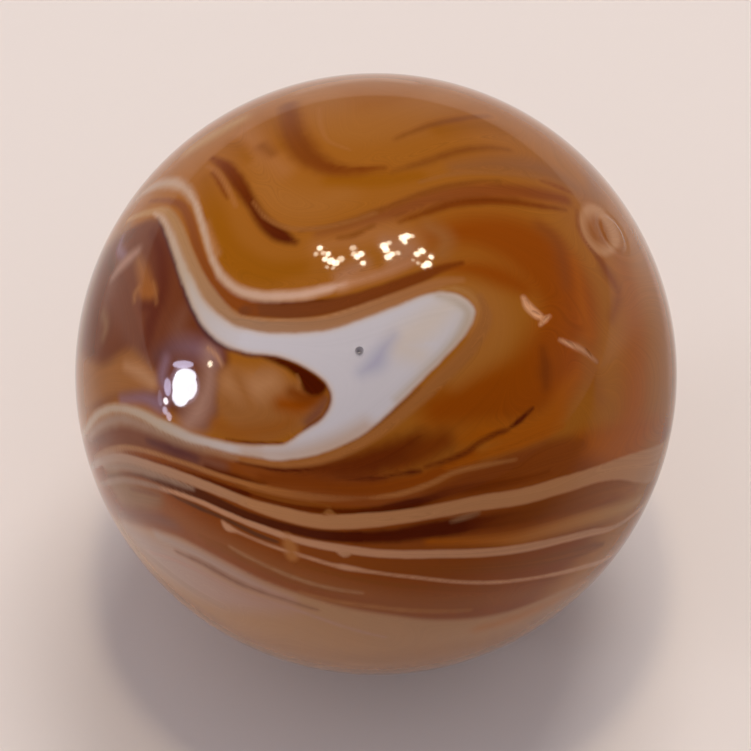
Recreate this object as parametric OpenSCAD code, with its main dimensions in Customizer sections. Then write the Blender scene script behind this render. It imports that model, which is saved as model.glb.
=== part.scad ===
// Swirled glass marble: one ball of fused glass, with an open bubble and a ring-shaped bruise in its skin.
// The origin is the ball's centre, and +Z is up as it lies. Directions on the ball are [bearing, height]:
// degrees round from +X towards +Y, and degrees above the equator.
// The swirl is drawn on the face of the ball, in millimetres to the right of the face's middle and above it, and
// each glass runs straight in from there. Together the glasses fill the ball and fuse into one solid.

/* [Ball] */
// Diameter of the ball
ball_d = 16; // [12:0.5:42]

/* [Open bubble] */
// Width of the open bubble's mouth
bubble_w = 0.22; // [0.1:0.01:0.6]
// Depth of the open bubble below the skin
bubble_depth = 0.1; // [0.04:0.01:0.25]

/* [Ring bruise] */
// Diameter of the ring bruise, along the middle of its groove
bruise_d = 1.2; // [0.8:0.05:2.5]
// Width of the bruise's groove
groove_w = 0.24; // [0.1:0.01:0.4]
// Depth of the bruise's groove
groove_depth = 0.03; // [0.01:0.005:0.06]

/* [Hidden] */
$fn = 96;

ball_r = ball_d / 2;

// Where the marks lie on the ball
bubble_at = [-95, 54];
bruise_at = [5, 42];

// The direction that the face looks in, and the diameter of the ball that the swirl is drawn on
face_at = [-90, 50];
drawn_d = 16;
// Straight pieces to each stretch of a drawn curve
curve_steps = 3;

// The glasses
amber = [0.60, 0.36, 0.10];
orange = [0.53, 0.27, 0.04];
brown = [0.42, 0.20, 0.08];
umber = [0.45, 0.26, 0.18];
treacle = [0.32, 0.11, 0.03];
chestnut = [0.42, 0.20, 0.07];
sand = [0.60, 0.44, 0.31];
caramel = [0.63, 0.43, 0.28];
toffee = [0.58, 0.36, 0.18];
shell = [0.72, 0.62, 0.55];
milk = [0.76, 0.72, 0.72];

// Lines that cross the whole face. The brown glass lies below the jaw line, and the sandy glass below the foot line.
jaw_line = [[-8.2, -1.8], [-7.15, -1.35], [-5.45, -1.25], [-4.4, -1.7], [-1.9, -2.25], [-0.65, -2.15], [0.85, -2.65],
    [2.35, -2.25], [4.6, -1.55], [6.75, -1.2], [8.2, -0.9]];
foot_line = [[-8.2, -3.3], [-7.1, -3.55], [-5, -4.2], [-2.95, -5], [-0.9, -5.8], [1.65, -6.35], [3.2, -6.4],
    [4.8, -5.9], [6.4, -4.7], [8.2, -3.6]];

// Threads are rows of a place and the thread's half width there
first_band = [[-7.35, -2.15, 0.05], [-6.4, -1.9, 0.08], [-5.6, -2.05, 0.08], [-3.65, -2.65, 0.08],
    [-2.15, -3, 0.11], [-0.65, -3.1, 0.06], [0.6, -3, 0.05], [1.95, -2.45, 0.05], [3.5, -2.15, 0.02]];
second_band = [[-8.2, -2.5, 0.1], [-7, -2.15, 0.12], [-5.6, -2.35, 0.13], [-3.9, -2.95, 0.15], [-2.4, -3.5, 0.19],
    [-0.4, -3.65, 0.21], [1.6, -3.4, 0.2], [3.6, -3.1, 0.23], [5.7, -2.55, 0.23], [8.2, -1.95, 0.27]];
third_band = [[-8, -3, 0.08], [-6.45, -2.75, 0.08], [-4.55, -3.15, 0.08], [-2.9, -3.9, 0.1], [-0.9, -4.35, 0.13],
    [1.6, -4.5, 0.13], [4.15, -4.35, 0.13], [5.5, -4.1, 0.13], [7.6, -3.5, 0.13]];
fourth_band = [[-3.9, -3.75, 0.04], [-3.45, -4, 0.05], [-2.15, -4.5, 0.09], [-0.85, -4.85, 0.09],
    [1.1, -5.15, 0.05], [3.15, -5.3, 0.05], [5.25, -5, 0.08], [7, -4.4, 0.08]];
upper_dark_line = [[-6.45, -2, 0.03], [-4.7, -2.5, 0.04], [-3.15, -3.05, 0.08], [-2.15, -3.3, 0.08],
    [-0.15, -3.4, 0.11], [1.35, -3.1, 0.16], [2.6, -2.8, 0.19], [4.35, -2.45, 0.04]];
middle_dark_line = [[-6.15, -2.55, 0.05], [-4.45, -3.05, 0.17], [-2.4, -3.8, 0.13], [-1.4, -4.05, 0.15],
    [0.35, -4.05, 0.2], [2.1, -3.8, 0.27], [3.6, -3.55, 0.27], [5.7, -3.05, 0.24], [6.8, -2.85, 0.05]];
lower_dark_line = [[-1.8, -4.45, 0.04], [0.1, -4.8, 0.11], [2.65, -4.9, 0.19], [4.7, -4.7, 0.16], [6, -4.35, 0.05]];
shadow_under_hook = [[-2.25, -2.35, 0.04], [-1, -2.35, 0.27], [-0.1, -2.2, 0.45], [0.6, -1.8, 0.45],
    [1.2, -1.25, 0.27]];
first_fold = [[-4.1, 5.45, 0.05], [-3.55, 4.85, 0.12], [-3, 3.95, 0.12], [-2.35, 3.45, 0.13], [-2, 3.3, 0.04]];
second_fold = [[-2.15, 6.85, 0.21], [-2, 6.1, 0.24], [-1.6, 5.5, 0.21], [-0.9, 5.2, 0.12], [0.2, 5.2, 0.04]];
brow_line = [[-1.9, 3.6, 0.04], [-1, 3.75, 0.09], [0.6, 4.35, 0.11], [2.1, 4.8, 0.08], [4.15, 4.7, 0.03]];
right_brow_line = [[0.65, 3.85, 0.03], [1.35, 4.1, 0.08], [2.75, 4.4, 0.09], [4.75, 4.2, 0.03]];
crown_line = [[0.4, 5.1, 0.03], [1.25, 5.35, 0.09], [2.15, 5.65, 0.11], [3.45, 5.75, 0.03]];
line_over_hook = [[-5.85, 4.55, 0.08], [-5.05, 4.45, 0.13], [-4.65, 3.8, 0.15], [-4.3, 2.7, 0.15],
    [-3.55, 1.85, 0.21], [-1.9, 1.55, 0.23], [-0.75, 1.75, 0.2], [0.6, 2.25, 0.17], [1.6, 2.6, 0.11],
    [2.15, 2.75, 0.05]];
rim = [[-6.45, 4.1, 0.08], [-5.85, 4.3, 0.12], [-5.35, 4.2, 0.13], [-4.7, 3, 0.17], [-4.2, 2.05, 0.21],
    [-3.4, 1.3, 0.21], [-2.25, 1.15, 0.19], [-1.15, 1.3, 0.19], [0.6, 1.9, 0.16], [1.7, 2.25, 0.19], [2.6, 2.1, 0.21],
    [2.9, 1.45, 0.24], [2.4, 0.65, 0.21], [0.65, -1.05, 0.21], [-1.1, -2.05, 0.13], [-2.25, -2.25, 0.08],
    [-4.3, -1.9, 0.04]];
outer_arm = [[-6.3, 4.55, 0.11], [-5.75, 4.85, 0.12], [-5.1, 4.95, 0.12], [-4.65, 4.55, 0.09], [-4.3, 3.45, 0.07],
    [-3.85, 2.5, 0.09], [-2.95, 1.95, 0.1], [-1.9, 1.95, 0.09], [-0.65, 2.25, 0.08], [1.3, 2.95, 0.03]];
inner_arm = [[-5.65, 4.1, 0.03], [-5.2, 3.5, 0.11], [-4.75, 2.3, 0.16], [-4.15, 1.3, 0.23], [-3.25, 0.8, 0.25]];
lower_arm = [[-2.5, -1.95, 0.19], [-3.4, -1.9, 0.16], [-4.3, -1.7, 0.12], [-5.2, -1.25, 0.1], [-6, -0.9, 0.1],
    [-6.7, -0.8, 0.09], [-7.25, -1, 0.09], [-7.6, -1.4, 0.08]];

// Pools are closed outlines
window = [[-5.85, 3.8], [-5.1, 2.4], [-4.4, 1.1], [-3.85, 0.55], [-3.85, -0.25], [-4.3, -1.3], [-5.45, -0.8],
    [-6.55, -0.65], [-7.6, -0.95], [-7.9, 0.35], [-7.7, 1.95], [-7.25, 3.05], [-6.5, 3.75]];
tongue = [[-7.6, 0.4], [-6.9, 0.4], [-6.25, 0.6], [-5.75, 0.3], [-5.4, -0.15], [-5.75, -0.35], [-6.55, -0.55],
    [-7.55, -0.8]];
heart = [[1.35, 3.45], [2.6, 4.05], [4.15, 4], [5.45, 2.85], [5.7, 1.1], [5.25, -0.4], [5, -1.15], [4.1, -1.45],
    [2.35, -1.65], [1.35, -1.15], [2.35, -0.05], [3.2, 0.85], [3.2, 1.95], [2.35, 2.55]];
dark_corner = [[-2.5, 0.5], [-1.9, 0.3], [-1.2, -0.2], [-1.15, -0.6], [-1.7, -0.5], [-1.9, -0.15], [-2.25, 0.2]];
hook = [[-3.4, 1], [-1.9, 1], [-0.9, 1.15], [0.6, 1.8], [1.2, 2.05], [1.8, 2.1], [2.3, 1.85], [2.45, 1.45],
    [2.3, 1.05], [1.2, -0.05], [-0.25, -1.45], [-1.15, -1.85], [-2.25, -2.1], [-3, -2], [-2.25, -1.7],
    [-1.35, -1.15], [-1.1, -0.7], [-1.35, -0.15], [-1.9, 0.25], [-2.65, 0.45], [-3.4, 0.6]];

// The layers of glass, lowest first. Those from first_shallow on lie only in the front half of the ball.
layers = [amber, brown, sand, treacle, caramel, umber, caramel, orange, treacle, chestnut, toffee, shell, milk];
first_shallow = 5;

// Radius of the circle that is w wide at its chord and h deep behind it
function arc_r(w, h) = (w * w / 4 + h * h) / (2 * h);

// The row at number i, where a closed list goes round and an open one stops at its ends
function row(rows, i, closed) = closed ? rows[(i + len(rows)) % len(rows)] : rows[min(max(i, 0), len(rows) - 1)];

// The place on the smooth curve through rows, at a share t of the way from row i to the next
function on_curve(rows, i, t, closed) =
    let (a = row(rows, i - 1, closed), b = row(rows, i, closed), c = row(rows, i + 1, closed),
         d = row(rows, i + 2, closed))
    b + (c - a) / 2 * t + (a - 2.5 * b + 2 * c - d / 2) * t ^ 2 + (1.5 * (b - c) + (d - a) / 2) * t ^ 3;

// The smooth curve through rows
function curve(rows, closed = false) =
    [for (i = [0 : len(rows) - (closed ? 1 : 2)], k = [0 : curve_steps - 1]) on_curve(rows, i, k / curve_steps, closed),
     if (!closed) rows[len(rows) - 1]];

// The place in a row, without its half width
function flat(row) = [row[0], row[1]];

// The step from the middle of a thread to its left edge, at row i
function to_edge(line, i) =
    let (run = flat(row(line, i + 1, false)) - flat(row(line, i - 1, false)))
    [-run[1], run[0]] / norm(run) * line[i][2];

// Turns +Z to point along a direction on the ball
module facing(at) {
    rotate([0, 90 - at[1], at[0]]) children();
}

// One drawn-out thread of glass
module thread(rows) {
    line = curve(rows);
    last = len(line) - 1;
    polygon([for (i = [0 : last]) flat(line[i]) + to_edge(line, i),
             for (i = [last : -1 : 0]) flat(line[i]) - to_edge(line, i)]);
}

// A pool of glass with a closed outline
module pool(outline) {
    polygon(curve(outline, closed = true));
}

// Everything below a line that crosses the face
module below(line) {
    polygon(concat(curve(line), [[drawn_d, -drawn_d], [-drawn_d, -drawn_d]]));
}

// What is drawn of one layer on the face
module drawing(layer) {
    if (layer == 0) square(2 * drawn_d, center = true);
    if (layer == 1) below(jaw_line);
    if (layer == 2) below(foot_line);
    if (layer == 3) for (rows = [upper_dark_line, middle_dark_line, lower_dark_line]) thread(rows);
    if (layer == 4) for (rows = [first_band, second_band, third_band, fourth_band]) thread(rows);
    if (layer == 5) pool(window);
    if (layer == 6) pool(tongue);
    if (layer == 7) pool(heart);
    if (layer == 8) {
        for (rows = [shadow_under_hook, first_fold, second_fold, brow_line, right_brow_line, crown_line]) thread(rows);
        pool(dark_corner);
    }
    if (layer == 9) thread(line_over_hook);
    if (layer == 10) thread(rim);
    if (layer == 11) thread(outer_arm);
    if (layer == 12) {
        pool(hook);
        for (rows = [inner_arm, lower_arm]) thread(rows);
    }
}

// What is drawn of the layers from first to last
module drawings(first, last) {
    for (layer = [first : 1 : last]) drawing(layer);
}

// Runs a drawing into the ball from the front, down to a height above the middle
module run_in(height) {
    facing(face_at) translate([0, 0, height]) linear_extrude(ball_d + 1) rotate(90) scale(ball_d / drawn_d) children();
}

// The glasses of the layers from first to last, each where the layers above it leave it room
module glasses(first, last, height) {
    for (layer = [first : last])
        color(layers[layer])
            intersection() {
                sphere(r = ball_r);
                run_in(height) difference() {
                    drawing(layer);
                    drawings(layer + 1, last);
                }
            }
}

// The whole ball of glass: the layers that run right through it, and in their front the shallow ones
module ball() {
    top = len(layers) - 1;
    difference() {
        glasses(0, first_shallow - 1, -ball_r - 0.5);
        color(amber) run_in(0) drawings(first_shallow, top);
    }
    glasses(first_shallow, top, 0);
}

// A round hollow left where a gas bubble broke through the skin
module open_bubble() {
    hollow_r = arc_r(bubble_w, bubble_depth);
    color(milk * 0.6) facing(bubble_at) translate([0, 0, ball_r - bubble_depth + hollow_r]) sphere(r = hollow_r);
}

// The round groove that a knock from another marble leaves
module ring_bruise() {
    groove_r = arc_r(groove_w, groove_depth);
    lean = asin(bruise_d / 2 / ball_r);
    centre = ball_r - groove_depth + groove_r;
    color(caramel)
        facing(bruise_at)
            rotate_extrude()
                translate([centre * sin(lean), centre * cos(lean)]) circle(r = groove_r);
}

module marble() {
    difference() {
        ball();
        open_bubble();
        ring_bruise();
    }
}

marble();
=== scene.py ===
"""A swirled glass marble: one ball of fused glass, dressed with the flow of its colours.

The ball is one closed skin, with an open bubble, a ring bruise and small chips cut into it. Its colours are
drawn as strands and pools of glass on a face view of the ball, carried round the far side, and kept on the
skin as smooth fields, which the finish turns into crisp streaks, fine striae and gloss. Some strokes are
painted light: haze and glow at the limbs, halos round the highlights, and shade beside the white hook and
in the open bubble.
"""

from __future__ import annotations

import logging
import math
from dataclasses import dataclass, field
from enum import Enum

import bpy
import numpy as np
from mathutils import Euler, Matrix, Vector

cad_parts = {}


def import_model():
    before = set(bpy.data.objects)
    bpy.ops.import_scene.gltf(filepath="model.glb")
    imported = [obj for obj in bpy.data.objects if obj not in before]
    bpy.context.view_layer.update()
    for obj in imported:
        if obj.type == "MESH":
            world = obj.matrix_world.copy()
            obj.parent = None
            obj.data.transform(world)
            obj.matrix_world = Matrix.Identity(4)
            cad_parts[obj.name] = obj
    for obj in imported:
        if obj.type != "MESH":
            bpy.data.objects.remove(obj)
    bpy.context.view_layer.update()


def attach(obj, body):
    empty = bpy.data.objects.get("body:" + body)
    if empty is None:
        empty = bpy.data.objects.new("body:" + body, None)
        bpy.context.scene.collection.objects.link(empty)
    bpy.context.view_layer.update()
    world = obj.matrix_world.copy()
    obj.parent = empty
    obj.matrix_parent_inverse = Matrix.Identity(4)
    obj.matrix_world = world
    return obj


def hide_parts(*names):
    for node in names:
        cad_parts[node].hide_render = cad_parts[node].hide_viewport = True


LOG = logging.getLogger("marble")
MM = 0.001
FAR = -1  # marks a point that lies on the far side of the face view
LAMP_DISTANCE = 500 * MM  # from the ball's skin
TINY = 1e-12  # stands in for a length of nothing, so that nothing is divided by 0

Row = tuple[float, ...]
Points = tuple[Row, ...]
Pair = tuple[float, float]
Tint = tuple[float, float, float]
Reach = tuple[np.ndarray, np.ndarray, np.ndarray]  # a depth inside, a share of the way along, and a distance


def ease(share: np.ndarray) -> np.ndarray:
    """Ease shares in and out between 0 and 1."""
    share = np.clip(share, 0, 1)
    return share * share * (3 - 2 * share)


class Glass(Enum):
    """The glasses that were folded together, as display colours from 0 to 255."""

    AMBER = (150, 88, 24)
    SYRUP = (154, 94, 36)
    GOLD = (143, 81, 8)
    HONEY = (143, 80, 24)
    ORANGE = (137, 63, 2)
    COPPER = (158, 98, 48)
    BRONZE = (124, 66, 18)
    BROWN = (115, 51, 5)
    CHESTNUT = (127, 62, 17)
    CHOCOLATE = (98, 38, 4)
    TREACLE = (80, 24, 2)
    PITCH = (72, 18, 0)
    COCOA = (92, 51, 28)
    GINGER = (138, 84, 42)
    MARIGOLD = (155, 78, 4)
    DUN = (132, 92, 62)
    RUST = (90, 32, 4)
    UMBER = (105, 50, 20)
    PLUM = (92, 52, 46)
    MAUVE = (116, 68, 46)
    RUSSET = (132, 72, 30)
    FAWN = (158, 116, 96)
    CARAMEL = (170, 117, 75)
    TOFFEE = (146, 90, 42)
    TAN = (168, 118, 80)
    BISCUIT = (152, 112, 82)
    CREAM = (180, 129, 94)
    SAND = (157, 113, 76)
    OCHRE = (166, 118, 66)
    ASH = (144, 112, 90)
    MIST = (154, 128, 112)
    PUTTY = (162, 122, 92)
    WALNUT = (110, 58, 28)
    GRAPE = (72, 38, 40)
    ROSE = (160, 108, 74)
    BLUSH = (200, 162, 140)
    FOG = (158, 130, 108)
    # Mostly painted highlight: the violet halo round the window's glint; also ash-grey flecks.
    PLUM_HALO_AND_ASH = (130, 95, 102)
    SHELL = (181, 152, 130)
    WARM_MILK = (174, 154, 134)
    MILK = (193, 184, 184)
    BRIGHT_MILK = (196, 180, 168)
    # Painted shade for the open bubble's pit.
    PIT_SHADE_GREY = (118, 112, 118)
    BLUE_MILK = (160, 154, 168)
    CHALK = (204, 146, 104)

    def linear(self) -> np.ndarray:
        """Return the colour as linear red, green and blue, by the sRGB curve."""
        value = np.asarray(self.value, float) / 255.0
        return np.where(value <= 0.04045, value / 12.92, ((value + 0.055) / 1.055) ** 2.4)


@dataclass(frozen=True)
class FaceView:
    """The ball as the eye sees it: a drawing grid, x to the right and y down, laid over the ball's face.

    Directions are unit vectors in the face's own axes: to the right, up, and towards the eye. The rim is the
    share of the radius where the near side ends, and a point drawn past it is pulled in to it.
    """

    centre: Pair = (376.0, 374.0)
    radius: float = 301.0
    grid_side: float = 751.0
    rim: float = 0.9995
    elevation: float = math.radians(50)
    eye_distance: float = 110 * MM
    ball_radius: float = 8 * MM

    def axes(self) -> np.ndarray:
        """Return the face's right, up and towards-the-eye axes as rows, in the part's own frame."""
        tilt = self.elevation
        return np.array([
            [1.0, 0.0, 0.0],
            [0.0, math.sin(tilt), math.cos(tilt)],
            [0.0, -math.cos(tilt), math.sin(tilt)],
        ])

    def direction(self, x: float, y: float, side: float = 1) -> np.ndarray:
        """Find the place on the ball that is seen at a point of the grid.

        Args:
            x: Grid place across.
            y: Grid place down.
            side: 1 for the near side, FAR for the place behind it on the far side.

        Returns:
            The unit vector to that place, in the face's axes.
        """
        across, up = x - self.centre[0], self.centre[1] - y
        reach = min(math.hypot(across, up) / self.radius, self.rim)
        sight = math.atan(reach * math.tan(math.asin(self.ball_radius / self.eye_distance)))
        lean = math.asin(math.sin(sight) * self.eye_distance / self.ball_radius)
        polar = (math.pi - lean if side == FAR else lean) - sight
        turn = math.atan2(up, across)
        flat = math.sin(polar)
        return np.array([flat * math.cos(turn), flat * math.sin(turn), math.cos(polar)])

    def mirrored_place(self, x: float, y: float, distance: float) -> Vector:
        """Return the place, at a distance from the skin, that shows as a highlight at a point of the grid."""
        normal = self.direction(x, y)
        spot = normal * self.ball_radius
        sight = np.array([0.0, 0.0, self.eye_distance]) - spot
        sight /= np.linalg.norm(sight)
        bounced = 2 * (normal @ sight) * normal - sight
        return Vector((spot + bounced * distance) @ self.axes())


@dataclass(frozen=True)
class Bands:
    """The turn of the glass: bands lie like latitudes round a tilted pole, and ripple on the far side.

    The far side starts at the limb, a longitude. Each wave is a height, its number of turns and its start.
    """

    pole: Row = (0.0, 0.954, 0.300)
    limb: float = 1.45
    waves: tuple[Row, ...] = ((0.75, 2.1, -5.2), (0.35, 5.0, 0.6))

    def axes(self) -> np.ndarray:
        """Return the east, north and fore axes as rows, in the face's axes."""
        north = np.array(self.pole) / np.linalg.norm(self.pole)
        east = np.array([1.0, 0.0, 0.0])
        return np.array([east, north, np.cross(east, north)])

    def angles(self, places: np.ndarray) -> tuple[np.ndarray, np.ndarray]:
        """Turn places into latitudes and longitudes about the pole; longitude 0 faces the eye."""
        east, north, fore = (places @ self.axes().T).T
        return np.arcsin(np.clip(north, -1, 1)), np.arctan2(east, fore)

    def places(self, latitude: np.ndarray, longitude: np.ndarray) -> np.ndarray:
        """Turn latitudes and longitudes about the pole into unit vectors in the face's axes."""
        flat = np.cos(latitude)
        local = np.stack([flat * np.sin(longitude), np.sin(latitude), flat * np.cos(longitude)], axis=-1)
        return local @ self.axes()

    def ripple(self, longitude: np.ndarray, swing: float) -> np.ndarray:
        """Give the sideways swing of a band behind the ball, which dies out where the near side starts."""
        turn = longitude % (2 * math.pi)
        behind = math.pi - np.abs(turn - math.pi)
        window = ease((behind - self.limb) / (math.pi - self.limb))
        wave = sum(height * np.sin(turns * turn + start) for height, turns, start in self.waves)
        return swing * window * wave


def smooth_curve(rows: np.ndarray, closed: bool, step: float = 0.012) -> np.ndarray:
    """Run a centripetal spline through rows of a unit vector and any further values.

    Args:
        rows: The control rows, with the unit vector in the first three columns.
        closed: Whether the curve returns to its first row.
        step: About how far apart the samples lie, in ball radii.

    Returns:
        The sampled rows, with their vectors back on the unit sphere; a closed curve repeats its first one.
    """
    count = len(rows)
    ring = np.concatenate([rows[-1:], rows, rows[:2]]) if closed else np.concatenate(
        [2 * rows[:1] - rows[1:2], rows, 2 * rows[-1:] - rows[-2:-1]])
    samples = []
    for i in range(count if closed else count - 1):
        before, start, end, after = ring[i:i + 4]
        pairs = ((before, start), (start, end), (end, after))
        lead, span, trail = (max(np.linalg.norm((b - a)[:3]), TINY) ** 0.5 for a, b in pairs)
        leave = ((start - before) / lead - (end - before) / (lead + span) + (end - start) / span) * span
        arrive = ((end - start) / span - (after - start) / (span + trail) + (after - end) / trail) * span
        t = np.linspace(0, 1, max(2, math.ceil(span ** 2 / step)), endpoint=False)[:, None]
        samples.append((2 * t**3 - 3 * t**2 + 1) * start + (t**3 - 2 * t**2 + t) * leave
                       + (3 * t**2 - 2 * t**3) * end + (t**3 - t**2) * arrive)
    samples.append(samples[0][:1] if closed else rows[-1:])
    curve = np.concatenate(samples)
    curve[:, :3] /= np.linalg.norm(curve[:, :3], axis=1, keepdims=True)
    return curve


def nearest_on_curve(curve: np.ndarray, places: np.ndarray,
                     batch: int = 16384) -> tuple[np.ndarray, np.ndarray]:
    """Find the nearest point of a curve for many places on the ball.

    Args:
        curve: Sampled rows, with a unit vector in the first three columns.
        places: Unit vectors.
        batch: How many places are compared at once.

    Returns:
        Each place's distance in ball radii, and the curve's further values at the nearest point.
    """
    heads = curve[:, :3].astype(np.float32).T
    best = np.concatenate([np.argmax(places[i:i + batch].astype(np.float32) @ heads, axis=1)
                           for i in range(0, len(places), batch)])
    distance = np.full(len(places), np.inf)
    values = np.zeros((len(places), curve.shape[1] - 3))
    for offset in (-1, 0):
        start = np.clip(best + offset, 0, len(curve) - 2)
        a, b = curve[start], curve[start + 1]
        run = (b - a)[:, :3]
        squared = np.maximum(np.einsum("ij,ij->i", run, run), TINY)
        share = np.einsum("ij,ij->i", places - a[:, :3], run) / squared
        foot = a + (b - a) * np.clip(share, 0, 1)[:, None]
        away = np.linalg.norm(places - foot[:, :3], axis=1)
        closer = away < distance
        distance[closer] = away[closer]
        values[closer] = foot[closer, 3:]
    return distance, values


@dataclass(frozen=True)
class Stroke:
    """What every mark of glass has: a name, its points, its colours, a softness, and a layer in the flow.

    The softness of the edge is in grid units. The flow value orders the layers, for the fine striae between
    them. A tint changes the colour of its glass and leaves the edge alone.
    """

    name: str
    points: Points
    glass: Glass
    glass_end: Glass | None = None
    soft: float = 3.0
    flow: float | None = None
    tint: bool = False

    def colour(self, share: np.ndarray) -> np.ndarray:
        """Blend the stroke's first colour into its last one, by each place's share of the way along."""
        first = self.glass.linear()
        last = self.glass_end.linear() if self.glass_end else first
        return first + (last - first) * share[:, None]

    def reach(self, places: np.ndarray, face: FaceView, bands: Bands) -> Reach:
        """Measure how far inside the stroke each place lies.

        Args:
            places: Unit vectors in the face's axes.
            face: The face view that the points lie on.
            bands: The bands, which carry some strokes behind the ball.

        Returns:
            The depth inside the edge in softnesses; the share of the way along, which is 0 for all but a
            strand; and the distance in grid units, from a strand's middle line or from another stroke's edge.
        """
        raise NotImplementedError


@dataclass(frozen=True)
class Strand(Stroke):
    """A drawn-out thread. Each point is a place on the grid, a half width, and FAR on the far side.

    It may run on behind the ball to a last point of the near side, along the bands, with a swing.
    """

    behind_to: Row | None = None
    swing: float = 0.12
    steps_behind: int = 16

    def rows(self, face: FaceView, bands: Bands) -> np.ndarray:
        """Work out the thread's middle line.

        Args:
            face: The face view that the points lie on.
            bands: The bands that it follows behind the ball, if it ends at behind_to.

        Returns:
            Rows of a unit vector, a half width in grid units and a share of the way along.
        """
        rows = np.array([[*face.direction(*point[:2], *point[3:]), point[2]] for point in self.points])
        if self.behind_to:
            end = np.array([*face.direction(*self.behind_to[:2]), self.behind_to[2]])
            (north_a, north_b), (east_a, east_b) = bands.angles(np.array([rows[-1, :3], end[:3]]))
            east_b += 2 * math.pi if east_a > east_b else -2 * math.pi
            share = np.linspace(0, 1, self.steps_behind)[1:-1]
            east = east_a + (east_b - east_a) * share
            north = north_a + (north_b - north_a) * share + bands.ripple(east, self.swing)
            half = rows[-1, 3] + (end[3] - rows[-1, 3]) * share
            rows = np.concatenate([rows, np.c_[bands.places(north, east), half], [end]])
        length = np.r_[0, np.cumsum(np.linalg.norm(np.diff(rows[:, :3], axis=0), axis=1))]
        return np.c_[rows, length / length[-1]]

    def reach(self, places: np.ndarray, face: FaceView, bands: Bands) -> Reach:
        """Measure the depth inside the thread, the share of its length, and the distance to its middle."""
        distance, values = nearest_on_curve(smooth_curve(self.rows(face, bands), False), places)
        away = distance * face.radius
        return (values[:, 0] - away) / self.soft, values[:, 1], away


@dataclass(frozen=True)
class Pool(Stroke):
    """A closed field of glass. Each point of its outline is a place on the grid, and FAR on the far side."""

    def reach(self, places: np.ndarray, face: FaceView, bands: Bands) -> Reach:
        """Measure the depth inside the outline, and the distance outside it. The bands have no part in it."""
        outline = smooth_curve(np.array([face.direction(*point) for point in self.points]), True)
        away = nearest_on_curve(outline, places)[0] * face.radius
        corners, spots = self.chart(outline), self.chart(places)
        inside = np.zeros(len(places), bool)
        for (x0, y0), (x1, y1) in zip(corners[:-1], corners[1:]):
            level = (y0 > spots[:, 1]) != (y1 > spots[:, 1])
            slope = (x1 - x0) / (y1 - y0) if y1 != y0 else 0.0
            inside ^= level & (spots[:, 0] < x0 + (spots[:, 1] - y0) * slope)
        return np.where(inside, away, -away) / self.soft, np.zeros(len(places)), np.where(inside, 0, away)

    @staticmethod
    def chart(places: np.ndarray) -> np.ndarray:
        """Lay places out flat round the face's middle, at their true angle from it."""
        polar = np.arccos(np.clip(places[:, 2], -1, 1))
        turn = np.arctan2(places[:, 1], places[:, 0])
        return np.c_[polar * np.cos(turn), polar * np.sin(turn)]


@dataclass(frozen=True)
class Cap(Stroke):
    """All the glass below a line that crosses the face from left to right and closes behind the ball."""

    swing: float = 0.08

    def reach(self, places: np.ndarray, face: FaceView, bands: Bands) -> Reach:
        """Measure the depth below the line, and the distance above it."""
        line = smooth_curve(np.array([face.direction(*point) for point in self.points]), False)
        north, east = bands.angles(line)
        order = np.argsort(east)
        latitude, longitude = bands.angles(places)
        edge = np.interp(longitude, east[order], north[order], period=2 * math.pi)
        below = (edge + bands.ripple(longitude, self.swing) - latitude) * face.radius
        return below / self.soft, np.zeros(len(places)), np.maximum(-below, 0)


def cover(edge: np.ndarray) -> np.ndarray:
    """Turn depths inside an edge, in softnesses, into shares from 0 outside to 1 inside."""
    return ease(0.5 + 0.5 * edge)
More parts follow.
